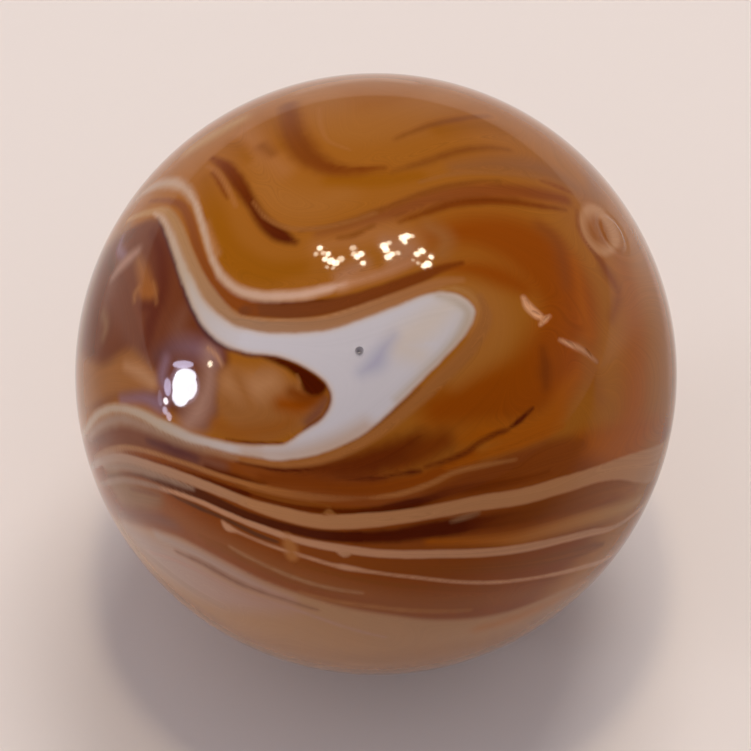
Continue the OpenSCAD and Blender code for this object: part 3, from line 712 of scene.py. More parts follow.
# The crisp light brown threads, which lie over the dark ones.
CARAMEL_GLASS: tuple[Stroke, ...] = (
    Strand("rim over the hook, left",
           ((128, 220, 3), (150, 212, 4.2), (167.5, 212.5, 4.6), (178, 229, 6), (188.8, 257, 6.5),
            (207, 293, 8), (235, 321.5, 7.6), (262, 326.5, 6.8)), Glass.OCHRE, Glass.BISCUIT, soft=3, flow=1),
    Strand("rim over the hook, right",
           ((255, 326, 6.8), (280, 327, 6.6), (325, 323.5, 6.6), (365, 311, 6.4), (405, 296, 6),
            (440, 283, 4.5), (462, 280, 3)), Glass.BISCUIT, Glass.COPPER, soft=3, flow=1),
    Strand("light line on the rim",
           ((226, 309, 0.6), (242, 316.5, 1.2), (260, 319.6, 1.5), (290, 320.4, 1.4), (320, 318, 1.4),
            (350, 310, 1.2), (385, 298.5, 0.6)), Glass.CARAMEL, soft=2, flow=0.9),
    Strand("light round the nose",
           ((440, 290, 1), (456, 289, 2.4), (470, 295, 3.4), (477.5, 306, 4), (477, 319, 3.4), (469, 335, 2)),
           Glass.OCHRE, Glass.COPPER, soft=6, flow=0.9),
    Strand("putty beside the hook",
           ((172, 222, 1), (180, 242, 1.6), (189, 266, 2), (201, 292, 2.4), (212, 309, 2.6),
            (225, 321.5, 2.4), (242, 328, 2), (270, 330.5, 2), (320, 329, 2.4), (365, 316.5, 2),
            (400, 303.5, 1.6), (440, 291, 0.8)), Glass.PUTTY, soft=4, flow=0.7),
    Strand("rim under the hook",
           ((480, 296, 3), (486, 316, 6), (472, 346, 7), (434, 385, 6.2), (401, 414.5, 5.8),
            (368, 438.5, 5.4), (334, 455.5, 4.2), (300, 463.5, 3.4), (268, 463, 3), (235, 457.5, 2),
            (205, 450, 1.5)), Glass.TOFFEE, Glass.COPPER, soft=3.4, flow=1),
    Strand("thin brown edge under the hook",
           ((420, 388, 0.6), (395, 409.5, 1.4), (370, 430, 1.4), (345, 445, 0.8)),
           Glass.WALNUT, soft=2.4, flow=0.6),
    Strand("light edge under the hook",
           ((464, 350, 0.8), (430, 383, 1.2), (403, 412.5, 1.4), (378, 434, 1.4), (345, 452, 1)),
           Glass.COPPER, soft=2.4, flow=0.8),
    Strand("first band, left",
           ((95, 457, 2), (110, 450, 2.6), (127, 447.5, 2.8), (150, 452, 2.4), (170, 458.5, 2.2),
            (190, 465, 2.2), (215, 474, 2.4), (240, 482, 2.8), (252, 485.5, 3)),
           Glass.BISCUIT, Glass.COPPER, soft=2.2, flow=2.3),
    Strand("first band, middle",
           ((250, 485, 3.2), (290, 494, 4), (320, 498, 3.6), (350, 498.5, 2.2), (375, 497.5, 1)),
           Glass.COPPER, Glass.RUSSET, soft=2.6, flow=2.3),
    Strand("first band, right",
           ((370, 498, 1.2), (400, 494, 2.4), (430, 484, 2.6), (455, 472, 2.6), (485, 465, 2.4),
            (516, 459.5, 1)), Glass.COPPER, Glass.TOFFEE, soft=2.6, flow=2.3),
    Strand("fork of the first band", ((238, 485, 1), (260, 494, 1.4), (300, 503, 1.6), (330, 505, 0.8)),
           Glass.BRONZE, soft=2, flow=2.6),
    Strand("honey line along the jaw",
           ((446, 468, 1), (472, 459, 3), (510, 446, 5), (540, 434, 5), (562, 426, 2)),
           Glass.MARIGOLD, soft=5, flow=2.2),
    Strand("second band, left",
           ((90, 470, 3), (106, 459.5, 4.5), (125, 458.5, 5), (155, 467.5, 5), (185, 478, 5.2),
            (220, 491.5, 5.2), (246, 502, 5)), Glass.MIST, Glass.TAN, soft=2, flow=3.4),
    Strand("skirt of the second band", ((104, 466, 3), (130, 467, 5), (160, 476, 4), (192, 488, 2)),
           Glass.ASH, soft=4, flow=3.6),
    Strand("second band",
           ((240, 500, 5), (280, 513, 7), (320, 521.5, 7.5), (360, 521, 8), (400, 517, 7.2),
            (440, 510.5, 7.2), (480, 503, 8), (520, 497, 8.5), (560, 486, 9), (600, 473.5, 9), (622, 468, 12),
            (642, 466, 17), (658, 462, 20)),
           Glass.CARAMEL, Glass.TAN, soft=2, flow=3.4, behind_to=(90, 470, 3), swing=0.16),
    Strand("third band, left", ((100, 484, 3), (125, 480, 3), (150, 485, 2.6), (168, 490.5, 2.2)),
           Glass.ASH, soft=3, flow=4.7),
    Strand("third band",
           ((160, 488, 1.8), (175, 492.6, 2.2), (200, 501.6, 2.6), (225, 513, 3), (245, 521.6, 3),
            (262, 528, 3.4), (300, 540.6, 3.8), (340, 548.5, 4.6), (380, 553.5, 4.6), (440, 554, 5),
            (500, 551.4, 5), (540, 545, 5), (565, 539, 4.4), (590, 533, 4.4), (612, 528, 3)),
           Glass.CREAM, Glass.TAN, soft=2, flow=4.7, behind_to=(100, 484, 3), swing=0.14),
    Strand("fourth band",
           ((223, 522, 2), (227, 527, 4.4), (238, 532, 1.8), (262, 542.4, 1.6), (280, 549, 1.8),
            (303, 556, 2), (333, 565, 2.2), (343, 567, 3.4), (375, 572.5, 1.8), (420, 578, 1.8),
            (460, 582, 2), (500, 582, 2), (540, 577, 2), (580, 568, 3), (606, 559, 3)),
           Glass.CREAM, Glass.TAN, soft=2.4, flow=6, behind_to=(108, 508, 2), swing=0.12),
    Strand("nick in the heart", ((523.5, 298, 2.4), (528, 306, 4.4), (535, 313, 4.2), (541, 317, 2.6)),
           Glass.CHALK, soft=3, flow=3.4),
    Strand("spur of the nick", ((540, 325, 1.2), (545, 320, 2.4), (550, 316, 1)),
           Glass.CHALK, soft=2.4, flow=3.4),
    Strand("scratch in the heart", ((560, 340, 1), (572, 345, 2.4), (584, 351, 2.2), (597, 362, 1)),
           Glass.CHALK, Glass.ROSE, soft=3, flow=3.4),
    Strand("tan thread in the lens", ((297, 375, 0.8), (299, 382, 1.6), (298, 388, 0.8)),
           Glass.TOFFEE, soft=2.4, flow=-1),
    Strand("bead on the third band", ((337, 549, 2), (344, 553.5, 4.4), (352, 552, 2)),
           Glass.CREAM, Glass.TAN, soft=2.4, flow=4.7),
    Strand("bead on the second band", ((324, 514, 1), (329, 511.5, 2.6), (334, 514, 1)),
           Glass.TOFFEE, soft=2.4, flow=3.4),
    Strand("fleck in the dark line", ((452, 521.5, 1), (462, 518, 2.4), (478, 513.5, 1)),
           Glass.DUN, soft=4, flow=4),
    Strand("knot between the bands", ((287, 536, 3.6), (290, 546, 6.6), (292, 556, 6)),
           Glass.COPPER, soft=4, flow=5.4),
    Strand("light thread under the first fold",
           ((253, 202, 1), (264, 216, 1.6), (276, 223.6, 1.8), (292, 228.5, 1.8), (320, 228, 1.8),
            (350, 221.5, 1.6), (376, 213, 1)), Glass.TOFFEE, soft=3.4, flow=5.3),
    Strand("light fold round the back",
           ((206, 136, 0.8, FAR), (214, 160, 2, FAR), (240, 204, 3, FAR), (305, 240, 4, FAR),
            (400, 244, 4.4, FAR), (500, 220, 3.4, FAR), (590, 226, 1.2, FAR)),
           Glass.CARAMEL, Glass.COPPER, soft=4, flow=4.6),
    Strand("light thread beside the first fold",
           ((207, 166, 1), (217, 172, 1.8), (227, 187, 2), (236, 206, 1.4)),
           Glass.COPPER, soft=3.4, flow=4.8),
    Strand("light thread inside the second fold",
           ((319, 108, 0.8), (321, 126, 1.2), (329, 141, 1.2), (350, 150, 0.8)),
           Glass.COPPER, soft=3.5, flow=6.5),
    Strand("light thread along the brow",
           ((420, 182, 0.8), (460, 173, 1.2), (500, 173, 1.4), (540, 177, 0.8)),
           Glass.TOFFEE, soft=4, flow=5.4),
    Strand("light thread in the russet",
           ((230, 547, 0.8), (258, 562, 1.2), (290, 576, 1.4), (325, 587, 1.4), (362, 593, 0.8)),
           Glass.SAND, soft=4, flow=6.4),
    Strand("light thread over the underside",
           ((300, 592, 1), (335, 601, 2), (375, 607, 2.4), (420, 611, 2.4), (470, 610, 1)),
           Glass.TOFFEE, soft=4, flow=6.9),
    Strand("pale thread on the underside",
           ((150, 552, 1), (175, 560, 2), (200, 571.5, 2), (220, 582, 2), (240, 592, 2), (270, 602, 1.8),
            (305, 613, 1.6), (345, 627, 1.4), (385, 637, 0.8)), Glass.FAWN, soft=4, flow=7.5),
)

# The white hook with its two arms, which lie over the others, and the painted shade in the open bubble.
MILK_GLASS: tuple[Stroke, ...] = (
    Strand("outer arm, behind the shoulder",
           ((128, 208, 3), (150, 188, 6), (172, 183, 6), (186, 189, 4.4), (194, 200, 3)),
           Glass.FOG, Glass.SHELL, soft=6, flow=3),
    Strand("outer arm, to the shoulder",
           ((185, 188, 2.4), (195.5, 204, 3.4), (204.6, 233, 3.4), (211.2, 256, 3.2), (220.5, 275, 4)),
           Glass.SHELL, soft=3.4, flow=3),
    Strand("outer arm, over the hook",
           ((220.5, 275, 4), (236, 288.8, 4.2), (258, 295.6, 4.6), (300, 294.8, 4.6), (322, 290.2, 4.2),
            (345, 284, 3.2)), Glass.SHELL, Glass.BLUSH, soft=4.2, flow=3),
    Strand("outer arm, fading out", ((340, 286, 4.4), (380, 274, 4), (412, 262, 3), (430, 255, 1)),
           Glass.CREAM, Glass.ROSE, soft=6, flow=3),
    Strand("inner arm, top",
           ((154, 213, 1.4), (163, 219, 3), (171, 236, 4.2), (179, 258, 5), (187, 280, 5.8)),
           Glass.SHELL, Glass.WARM_MILK, soft=3.6, flow=0),
    Strand("inner arm, foot",
           ((184, 272, 5.2), (189.5, 284, 6.4), (199, 305, 7.2), (212, 322, 9.6), (231, 336, 10.4),
            (252, 342, 10)), Glass.WARM_MILK, Glass.MILK, soft=3.2, flow=0),
    Pool("hook",
         ((238, 330), (265, 332.6), (298, 333), (330, 329.5), (365, 318), (400, 305), (425, 295),
          (446, 292.2), (462, 296.6), (474.8, 309), (469, 329), (451.5, 350), (425.5, 376.5), (398, 404),
          (365, 433), (330, 450.5), (298, 458.6), (268, 459.8), (255, 453), (262, 446), (285, 444),
          (303, 432), (322, 419), (331.5, 402), (328.5, 386), (310.5, 370), (280, 356.5), (245, 352),
          (232, 345)), Glass.MILK, soft=2.6, flow=0),
    Strand("lower arm",
           ((282, 452.5, 6.6), (240, 450, 5.2), (205, 442, 5), (190, 438, 5.6), (175, 431.5, 6.4),
            (160, 424.5, 6.6)), Glass.MILK, Glass.WARM_MILK, soft=3.2, flow=0),
    Strand("lower arm, round the back",
           ((160, 424.5, 6.6), (140, 414, 5.2), (118, 408.5, 4.2), (100, 413, 4.2), (88, 427, 4),
            (84, 446, 3.4, FAR), (130, 470, 6, FAR), (200, 440, 8, FAR), (245, 370, 9, FAR),
            (230, 290, 7, FAR), (188, 236, 5, FAR), (146, 214, 4, FAR), (118, 222, 3.6, FAR), (116, 221, 3.4),
            (128, 207, 3)), Glass.WARM_MILK, Glass.FOG, soft=4, flow=0),
    Strand("tan wing under the lower arm",
           ((88, 440, 2), (100, 426, 5), (122, 419, 6), (148, 428, 4.5), (176, 441, 3), (205, 450, 2.4),
            (236, 458, 1)), Glass.MIST, Glass.ASH, soft=6, flow=0.4),
    Strand("bright heart of the hook", ((452, 303, 10), (420, 330, 14), (400, 345, 12), (420, 355, 8)),
           Glass.BRIGHT_MILK, soft=14, tint=True),
    Strand("warm foot of the hook", ((245, 452, 4), (290, 454, 5), (335, 443, 7), (365, 426, 5)),
           Glass.SHELL, soft=12, tint=True),
    # Painted shade: the open bubble's pit is darkened grey over its cut hollow.
    Strand("open bubble", ((358.6, 352, 2.4), (359.4, 353, 2.4)), Glass.PIT_SHADE_GREY, soft=2.4, tint=True),
    Strand("warm border of the nose",
           ((438, 296, 1), (456, 301, 3), (468, 312, 5), (463, 329, 5), (446, 350, 3), (420, 376, 2),
            (396, 399, 1.4)), Glass.WARM_MILK, soft=7, tint=True),
    Strand("blue shade in the hook", ((362, 372, 2), (376, 362, 7), (384, 348, 4), (394, 336, 1)),
           Glass.BLUE_MILK, soft=12, tint=True),
)


# The crisp glasses, lowest first.
CRISP_GLASSES = {"dark": DARK_GLASS, "caramel": CARAMEL_GLASS, "milk": MILK_GLASS}


@dataclass(frozen=True)
class Swirl:
    """The painter of the glasses: the soft body of the melt, and the crisp strokes over it.

    Where two strokes of one glass meet, the deeper one's colour wins, and the sharper, the sooner. The
    faintest weight that a stroke can have there is given as a power of e.
    """

    face: FaceView = FaceView()
    bands: Bands = Bands()
    base: Glass = Glass.AMBER
    sharp: float = 3.0
    faintest: float = -40.0

    def paint_body(self, places: np.ndarray, strokes: tuple[Stroke, ...]) -> np.ndarray:
        """Lay soft patches over the base colour, in order.

        Args:
            places: Unit vectors in the face's axes.
            strokes: The patches, lowest first.

        Returns:
            A linear colour for each place.
        """
        colour = np.tile(self.base.linear(), (len(places), 1))
        for stroke in strokes:
            depth, share, _ = stroke.reach(places, self.face, self.bands)
            colour += (stroke.colour(share) - colour) * cover(depth)[:, None]
        return colour

    def paint_glass(self, places: np.ndarray, strokes: tuple[Stroke, ...],
                    flow: Flow) -> tuple[np.ndarray, np.ndarray]:
        """Join crisp strokes into one field with one edge.

        Args:
            places: Unit vectors in the face's axes.
            strokes: The strokes of one glass.
            flow: The flow, which each stroke pulls to its own layer.

        Returns:
            Each place's depth inside the joined edge, in softnesses, and its linear colour.
        """
        edged = [stroke for stroke in strokes if not stroke.tint]
        reaches = [stroke.reach(places, self.face, self.bands) for stroke in edged]
        edge = np.max([depth for depth, _, _ in reaches], axis=0)
        weight = np.zeros(len(places))
        colour = np.zeros((len(places), 3))
        for stroke, (depth, share, away) in zip(edged, reaches):
            part = np.exp(np.clip(self.sharp * (depth - edge), self.faintest, 0))
            weight += part
            colour += stroke.colour(share) * part[:, None]
            flow.pull(stroke, away)
        colour /= weight[:, None]
        for tint in (stroke for stroke in strokes if stroke.tint):
            depth, share, _ = tint.reach(places, self.face, self.bands)
            colour += (tint.colour(share) - colour) * cover(depth)[:, None]
        return edge, colour


@dataclass
class Flow:
    """The layer that each place lies in: a mean of the strokes' layers, the nearest ones first.

    A stroke's weight falls off as a power of the distance, to which a core is added so that it stays finite.
    """

    count: int
    core: float = 6.0
    power: float = -3.0
    total: np.ndarray = field(init=False)
    weight: np.ndarray = field(init=False)

    def __post_init__(self) -> None:
        """Start with no pull anywhere."""
        self.total = np.zeros(self.count)
        self.weight = np.zeros(self.count)

    def pull(self, stroke: Stroke, away: np.ndarray) -> None:
        """Pull the places towards a stroke's layer, by their distance from it in grid units."""
        if stroke.flow is None:
            return
        part = (away + self.core) ** self.power
        self.total += stroke.flow * part
        self.weight += part

    def layers(self) -> np.ndarray:
        """Return each place's layer."""
        return self.total / self.weight


class Sock:
    """A socket of a shader tree. Operators on it add Math nodes."""

    def __init__(self, nodes: Nodes, socket: bpy.types.NodeSocket | None) -> None:
        """Hold the tree's nodes and the output socket."""
        self.nodes = nodes
        self.socket = socket

    def math(self, operation: str, value: Sock | float) -> Sock:
        """Add a Math node on this socket and a value."""
        return self.nodes.add("ShaderNodeMath", {"operation": operation}, {0: self, 1: value})

    def __add__(self, other: Sock | float) -> Sock:
        """Return self + other."""
        return self.math("ADD", other)

    def __sub__(self, other: Sock | float) -> Sock:
        """Return self - other."""
        return self.math("SUBTRACT", other)

    def __rsub__(self, other: float) -> Sock:
        """Return other - self."""
        return self.nodes.add("ShaderNodeMath", {"operation": "SUBTRACT"}, {0: other, 1: self})

    def __mul__(self, other: Sock | float) -> Sock:
        """Return self * other."""
        return self.math("MULTIPLY", other)

    __radd__ = __add__
    __rmul__ = __mul__

    def smoothstep(self, low: float, high: float, to_low: float = 0.0, to_high: float = 1.0) -> Sock:
        """Ease from to_low to to_high as the value goes from low to high."""
        return self.nodes.add("ShaderNodeMapRange", {"interpolation_type": "SMOOTHSTEP"}, {
            "Value": self, "From Min": low, "From Max": high, "To Min": to_low, "To Max": to_high})


class Nodes:
    """The node tree of one material or world."""

    def __init__(self, tree: bpy.types.NodeTree) -> None:
        """Clear the tree and hold it."""
        self.tree = tree
        tree.nodes.clear()

    def add(self, kind: str, settings: dict[str, object] | None = None,
            values: dict[int | str, object] | None = None, output: int | str = 0) -> Sock:
        """Add a node.

        Args:
            kind: The node's type.
            settings: Its properties, set before its sockets.
            values: A value or a link for each input, by name or number.
            output: The output to hand back, by name or number.

        Returns:
            The wrapped output, or a wrap of nothing for a node without outputs.
        """
        node = self.tree.nodes.new(kind)
        for name, setting in (settings or {}).items():
            setattr(node, name, setting)
        for key, value in (values or {}).items():
            if isinstance(value, Sock):
                self.tree.links.new(value.socket, node.inputs[key])
            else:
                node.inputs[key].default_value = value
        return Sock(self, node.outputs[output] if node.outputs else None)

    def attribute(self, name: str, output: str = "Fac") -> Sock:
        """Read an attribute of the mesh."""
        return self.add("ShaderNodeAttribute", {"attribute_name": name}, output=output)

    def mix(self, share: Sock, first: Sock, last: Sock) -> Sock:
        """Mix two colours by a share from 0 to 1."""
        return self.add("ShaderNodeMix", {"data_type": "RGBA"}, {0: share, 6: first, 7: last}, output=2)

    def vector_math(self, operation: str, values: dict[int | str, object], output: int | str = 0) -> Sock:
        """Add a Vector Math node."""
        return self.add("ShaderNodeVectorMath", {"operation": operation}, values, output)

    def axis(self, vector: Sock, name: str) -> Sock:
        """Take the X, Y or Z out of a vector."""
        return self.add("ShaderNodeSeparateXYZ", {}, {0: vector}, name)

    def noise(self, place: Sock, scale: float, detail: float = 3.0, layer: Sock | None = None) -> Sock:
        """Add soft noise from -0.5 to 0.5, drawn out along the layers if a layer is given."""
        dimensions = "4D" if layer else "3D"
        values: dict[int | str, object] = {"Vector": place, "Scale": scale, "Detail": detail}
        if layer:
            values["W"] = layer
        return self.add("ShaderNodeTexNoise", {"noise_dimensions": dimensions}, values) - 0.5


def new_material(name: str) -> tuple[bpy.types.Material, Nodes]:
    """Make a material, and return it with the nodes of its emptied tree."""
    material = bpy.data.materials.new(name)
    material.use_nodes = True
    return material, Nodes(material.node_tree)


@dataclass(frozen=True)
class SwirledGlass:
    """The finish of the marble: opaque glass in folded layers, fire-polished, with fine striae.

    A noise has a scale, the steps it takes between the flow's layers, and its share in the tone or in the
    edges. Each band is a pair of depths inside a glass, in softnesses, between which a change is eased.
    """

    roughness: float = 0.045
    refraction: float = 1.5
    striae_scale: float = 160.0
    striae_layers: float = 2.4
    striae_shade: float = 0.03
    striae_edge: float = 0.6
    ragged_scale: float = 3200.0
    ragged_edge: float = 0.6
    cloud_scale: float = 110.0
    cloud_layers: float = 1.3
    cloud_shade: float = 0.12
    contrast: float = 4.0
    edge_band: Pair = (-1.0, 1.0)
    warm_rim: Tint = (1.01, 0.9, 0.78)
    warm_band: Pair = (-0.3, 2.4)
    milk_calm: float = 0.85
    calm_band: Pair = (-1.0, 2.0)

    def make(self) -> bpy.types.Material:
        """Build the material."""
        material, nodes = new_material("swirled_glass")
        place = nodes.add("ShaderNodeTexCoord", output="Object")
        flow = nodes.attribute("flow")
        striae = nodes.noise(place, self.striae_scale, detail=2, layer=flow * self.striae_layers)
        ragged = nodes.noise(place, self.ragged_scale)
        clouds = nodes.noise(place, self.cloud_scale, detail=2, layer=flow * self.cloud_layers)
        glasses = {name: nodes.attribute(f"{name}_colour", "Color") for name in CRISP_GLASSES}
        milk_edge = nodes.attribute("milk_edge")
        warmed = nodes.vector_math("MULTIPLY", {0: glasses["milk"], 1: self.warm_rim})
        glasses["milk"] = nodes.mix(milk_edge.smoothstep(*self.warm_band), warmed, glasses["milk"])
        colour = nodes.attribute("body", "Color")
        for name, glass in glasses.items():
            edge = nodes.attribute(f"{name}_edge") + striae * self.striae_edge + ragged * self.ragged_edge
            colour = nodes.mix(edge.smoothstep(*self.edge_band), colour, glass)
        calm = 1 - milk_edge.smoothstep(*self.calm_band) * self.milk_calm
        shade = (striae * self.striae_shade + clouds * self.cloud_shade) * calm * self.contrast + 1
        tone = nodes.vector_math("SCALE", {0: colour, 3: shade})
        surface = nodes.add("ShaderNodeBsdfPrincipled", {}, {
            "Base Color": tone, "Roughness": self.roughness, "IOR": self.refraction})
        nodes.add("ShaderNodeOutputMaterial", {}, {"Surface": surface})
        return material


@dataclass(frozen=True)
class PlainFinish:
    """A plain matt finish for the floor. Its image in the ball is dimmer beside it and in front of it.

    Each share says how much of the mirror image is kept there. Each band is a pair of distances from the
    ball's foot, in metres, between which that is eased. The right one slants outwards, going back.
    """

    colour: Row
    roughness: float = 0.85
    kept_far: float = 0.68
    far_band: Pair = (0.012, 0.055)
    beside_band: Pair = (0.01, 0.024)
    kept_right: float = 0.58
    right_band: Pair = (0.0055, 0.012)
    right_slant: float = 0.45
    kept_left: float = 0.42
    left_band: Pair = (-0.028, -0.01)
    kept_in_front: float = 0.12
    front_band: Pair = (-0.024, -0.005)

    def make(self, name: str) -> bpy.types.Material:
        """Build the material under a name."""
        material, nodes = new_material(name)
        place = nodes.add("ShaderNodeTexCoord", output="Object")
        away = nodes.vector_math("LENGTH", {0: place}, "Value")
        right = nodes.axis(place, "X")
        behind = nodes.axis(place, "Y")
        beside = behind.smoothstep(*self.beside_band, 1, 0)
        to_right = (right - behind * self.right_slant).smoothstep(*self.right_band, 0, 1 - self.kept_right)
        to_left = right.smoothstep(*self.left_band, 1 - self.kept_left, 0)
        kept = (away.smoothstep(*self.far_band, 1, self.kept_far) * (1 - beside * (to_right + to_left))
                * behind.smoothstep(*self.front_band, self.kept_in_front, 1))
        shade = nodes.add("ShaderNodeLightPath", output="Is Glossy Ray") * (1 - kept)
        pale = nodes.add("ShaderNodeBsdfPrincipled", {}, {
            "Base Color": self.colour, "Roughness": self.roughness})
        unlit = nodes.add("ShaderNodeBsdfDiffuse", {}, {"Color": (0, 0, 0, 1)})
        surface = nodes.add("ShaderNodeMixShader", {}, {0: shade, 1: pale, 2: unlit})
        nodes.add("ShaderNodeOutputMaterial", {}, {"Surface": surface})
        return material


def active_piece() -> bpy.types.Object:
    """Return the object that the last operator made or edited."""
    return bpy.context.view_layer.objects.active


def turned_to(side: Vector, up: Vector) -> Euler:
    """Return the turn that lays X along a side vector, as far as it goes, and Z along a unit vector."""
    side = (side - side.dot(up) * up).normalized()
    return Matrix((side, up.cross(side), up)).transposed().to_euler()


def stand(data: bpy.types.ID, place: Vector | Row, turn: Euler | Row = (0, 0, 0)) -> bpy.types.Object:
    """Put a lamp or a camera into the scene, at a place and a turn."""
    holder = bpy.data.objects.new(data.name, data)
    holder.location = place
    holder.rotation_euler = turn
    bpy.context.scene.collection.objects.link(holder)
    return holder


@dataclass(frozen=True)
class Chip:
    """A shallow flake out of the skin: its place and half sizes on the drawing grid, and its turn."""

    x: float
    y: float
    half_length: float
    half_width: float
    turn: float


@dataclass(frozen=True)
class Marble:
    """The ball of glass: its skin, its marks and its colours.

    The skin is a cube cut twice, with its points crowded towards the face. The places of the bubble and the
    bruise are a bearing and a height in degrees. chips_out is the share of the way out to the ball's limb
    where the chips lie, and chip_rise is how many times as tall as a chip its cutter is.
    """

    face: FaceView = FaceView()
    swirl: Swirl = Swirl()
    first_cuts: int = 2
    second_cuts: int = 40
    crowding: float = 0.42
    bubble_at: Pair = (-95, 54)
    bubble_width: float = 0.22 * MM
    bubble_depth: float = 0.1 * MM
    bruise_at: Pair = (4, 40)
    bruise_width: float = 1.2 * MM
    groove_width: float = 0.24 * MM
    groove_depth: float = 0.012 * MM
    chip_depth: float = 0.03 * MM
    chip_rise: float = 4.0
    chips_out: float = 0.75
    chips: tuple[Chip, ...] = (
        Chip(527, 304, 6, 3, -60), Chip(536, 314, 6, 2.6, -20), Chip(546, 320, 5, 2.2, 45),
        Chip(571, 345, 9, 2.6, -25), Chip(589, 354, 8, 2.4, -40),
    )
    crease: float = math.radians(18)

    def build(self) -> bpy.types.Object:
        """Build and dress the marble."""
        ball = self.ball()
        self.mark(ball)
        self.colour(ball)
        ball.data.materials.append(SwirledGlass().make())
        return ball

    def ball(self) -> bpy.types.Object:
        """Model the ball: a finely cut cube, pushed out to a sphere with its smallest faces in front."""
        bpy.ops.object.select_all(action="DESELECT")
        bpy.ops.mesh.primitive_cube_add(size=2 * self.face.ball_radius)
        ball = active_piece()
        ball.name = ball.data.name = "glass_ball"
        bpy.ops.object.mode_set(mode="EDIT")
        bpy.ops.mesh.subdivide(number_cuts=self.first_cuts)
        bpy.ops.mesh.subdivide(number_cuts=self.second_cuts)
        bpy.ops.object.mode_set(mode="OBJECT")
        self.even_out(ball)
        return ball

    @staticmethod
    def hollow_radius(width: float, depth: float) -> float:
        """Return the radius of the circle that is width wide at its chord and depth deep behind it."""
        return (width * width / 4 + depth * depth) / (2 * depth)

    @staticmethod
    def outward(at: Pair) -> Vector:
        """Return the unit vector to a bearing and a height."""
        bearing, height = (math.radians(angle) for angle in at)
        flat = math.cos(height)
        return Vector((flat * math.cos(bearing), flat * math.sin(bearing), math.sin(height)))

    def bubble_cutter(self) -> bpy.types.Object:
        """Make the round cutter for the open bubble."""
        radius = self.hollow_radius(self.bubble_width, self.bubble_depth)
        centre = self.outward(self.bubble_at) * (self.face.ball_radius - self.bubble_depth + radius)
        bpy.ops.mesh.primitive_uv_sphere_add(segments=32, ring_count=16, radius=radius, location=centre)
        return active_piece()

    def groove_cutter(self) -> bpy.types.Object:
        """Make the ring-shaped cutter for the bruise."""
        radius = self.hollow_radius(self.groove_width, self.groove_depth)
        lean = math.asin(self.bruise_width / 2 / self.face.ball_radius)
        centre = self.face.ball_radius - self.groove_depth + radius
        up = self.outward(self.bruise_at)
        bpy.ops.mesh.primitive_torus_add(
            location=up * centre * math.cos(lean), rotation=up.to_track_quat("Z", "Y").to_euler(),
            major_radius=centre * math.sin(lean), minor_radius=radius, major_segments=64, minor_segments=48)
        return active_piece()

    def chip_cutter(self, chip: Chip) -> bpy.types.Object:
        """Make the flat cutter for a chip."""
        axes = self.face.axes()
        turn = math.radians(chip.turn)
        up = Vector(self.face.direction(chip.x, chip.y) @ axes)
        run = Vector((math.cos(turn), math.sin(turn), 0.0) @ axes)
        tall = self.chip_rise * self.chip_depth
        wide = self.face.ball_radius / self.face.radius / math.sqrt(1 - self.chips_out ** 2)
        bpy.ops.mesh.primitive_uv_sphere_add(
            segments=24, ring_count=16, radius=1, rotation=turned_to(run, up),
            location=up * (self.face.ball_radius - self.chip_depth + tall),
            scale=(chip.half_length * wide, chip.half_width * wide, tall))
        return active_piece()

    def mark(self, ball: bpy.types.Object) -> None:
        """Cut the open bubble, the ring bruise and the chips into the skin."""
        bpy.ops.object.select_all(action="DESELECT")
        cutters = [self.bubble_cutter(), self.groove_cutter()]
        cutters += [self.chip_cutter(chip) for chip in self.chips]
        for cutter in cutters:
            cutter.select_set(True)
        bpy.ops.object.join()
        cutter = active_piece()
        bpy.ops.object.select_all(action="DESELECT")
        ball.select_set(True)
        bpy.context.view_layer.objects.active = ball
        cut = ball.modifiers.new("marks", "BOOLEAN")
        cut.operation = "DIFFERENCE"
        cut.solver = "EXACT"
        cut.object = cutter
        bpy.ops.object.modifier_apply(modifier=cut.name)
        bpy.data.objects.remove(cutter, do_unlink=True)
        bpy.ops.object.shade_smooth_by_angle(angle=self.crease)

    def even_out(self, ball: bpy.types.Object) -> None:
        """Push the cube out to a sphere at even angles, then crowd its points towards the face."""
        places = read_places(ball) / self.face.ball_radius
        spread = np.tan(places * math.pi / 4)
        spread /= np.linalg.norm(spread, axis=1, keepdims=True)
        seen = spread @ self.face.axes().T
        polar = np.arccos(np.clip(seen[:, 2], -1, 1))
        crowded = polar - self.crowding * np.sin(polar)
        flat = seen[:, :2] / np.maximum(np.linalg.norm(seen[:, :2], axis=1, keepdims=True), TINY)
        seen = np.c_[flat * np.sin(crowded)[:, None], np.cos(crowded)]
        write_places(ball, seen @ self.face.axes() * self.face.ball_radius)

    def colour(self, ball: bpy.types.Object) -> None:
        """Paint the swirl on the skin as attributes."""
        places = read_places(ball)
        places = (places / np.linalg.norm(places, axis=1, keepdims=True)) @ self.face.axes().T
        write_attribute(ball, "body", self.swirl.paint_body(places, AMBER_BODY))
        flow = Flow(len(places))
        for name, strokes in CRISP_GLASSES.items():
            edge, colour = self.swirl.paint_glass(places, strokes, flow)
            write_attribute(ball, f"{name}_edge", edge)
            write_attribute(ball, f"{name}_colour", colour)
        write_attribute(ball, "flow", flow.layers())


def read_places(piece: bpy.types.Object) -> np.ndarray:
    """Return the places of a mesh's points, a row each."""
    places = np.empty(len(piece.data.vertices) * 3)
    piece.data.vertices.foreach_get("co", places)
    return places.reshape(-1, 3)


def write_places(piece: bpy.types.Object, places: np.ndarray) -> None:
    """Set the places of a mesh's points."""
    piece.data.vertices.foreach_set("co", places.ravel())
    piece.data.update()


def write_attribute(piece: bpy.types.Object, name: str, values: np.ndarray) -> None:
    """Keep a number or a linear colour for each point of a mesh."""
    if values.ndim == 1:
        piece.data.attributes.new(name, "FLOAT", "POINT").data.foreach_set("value", values)
        return
    attribute = piece.data.attributes.new(name, "FLOAT_COLOR", "POINT")
    attribute.data.foreach_set("color", np.c_[values, np.ones(len(values))].ravel())


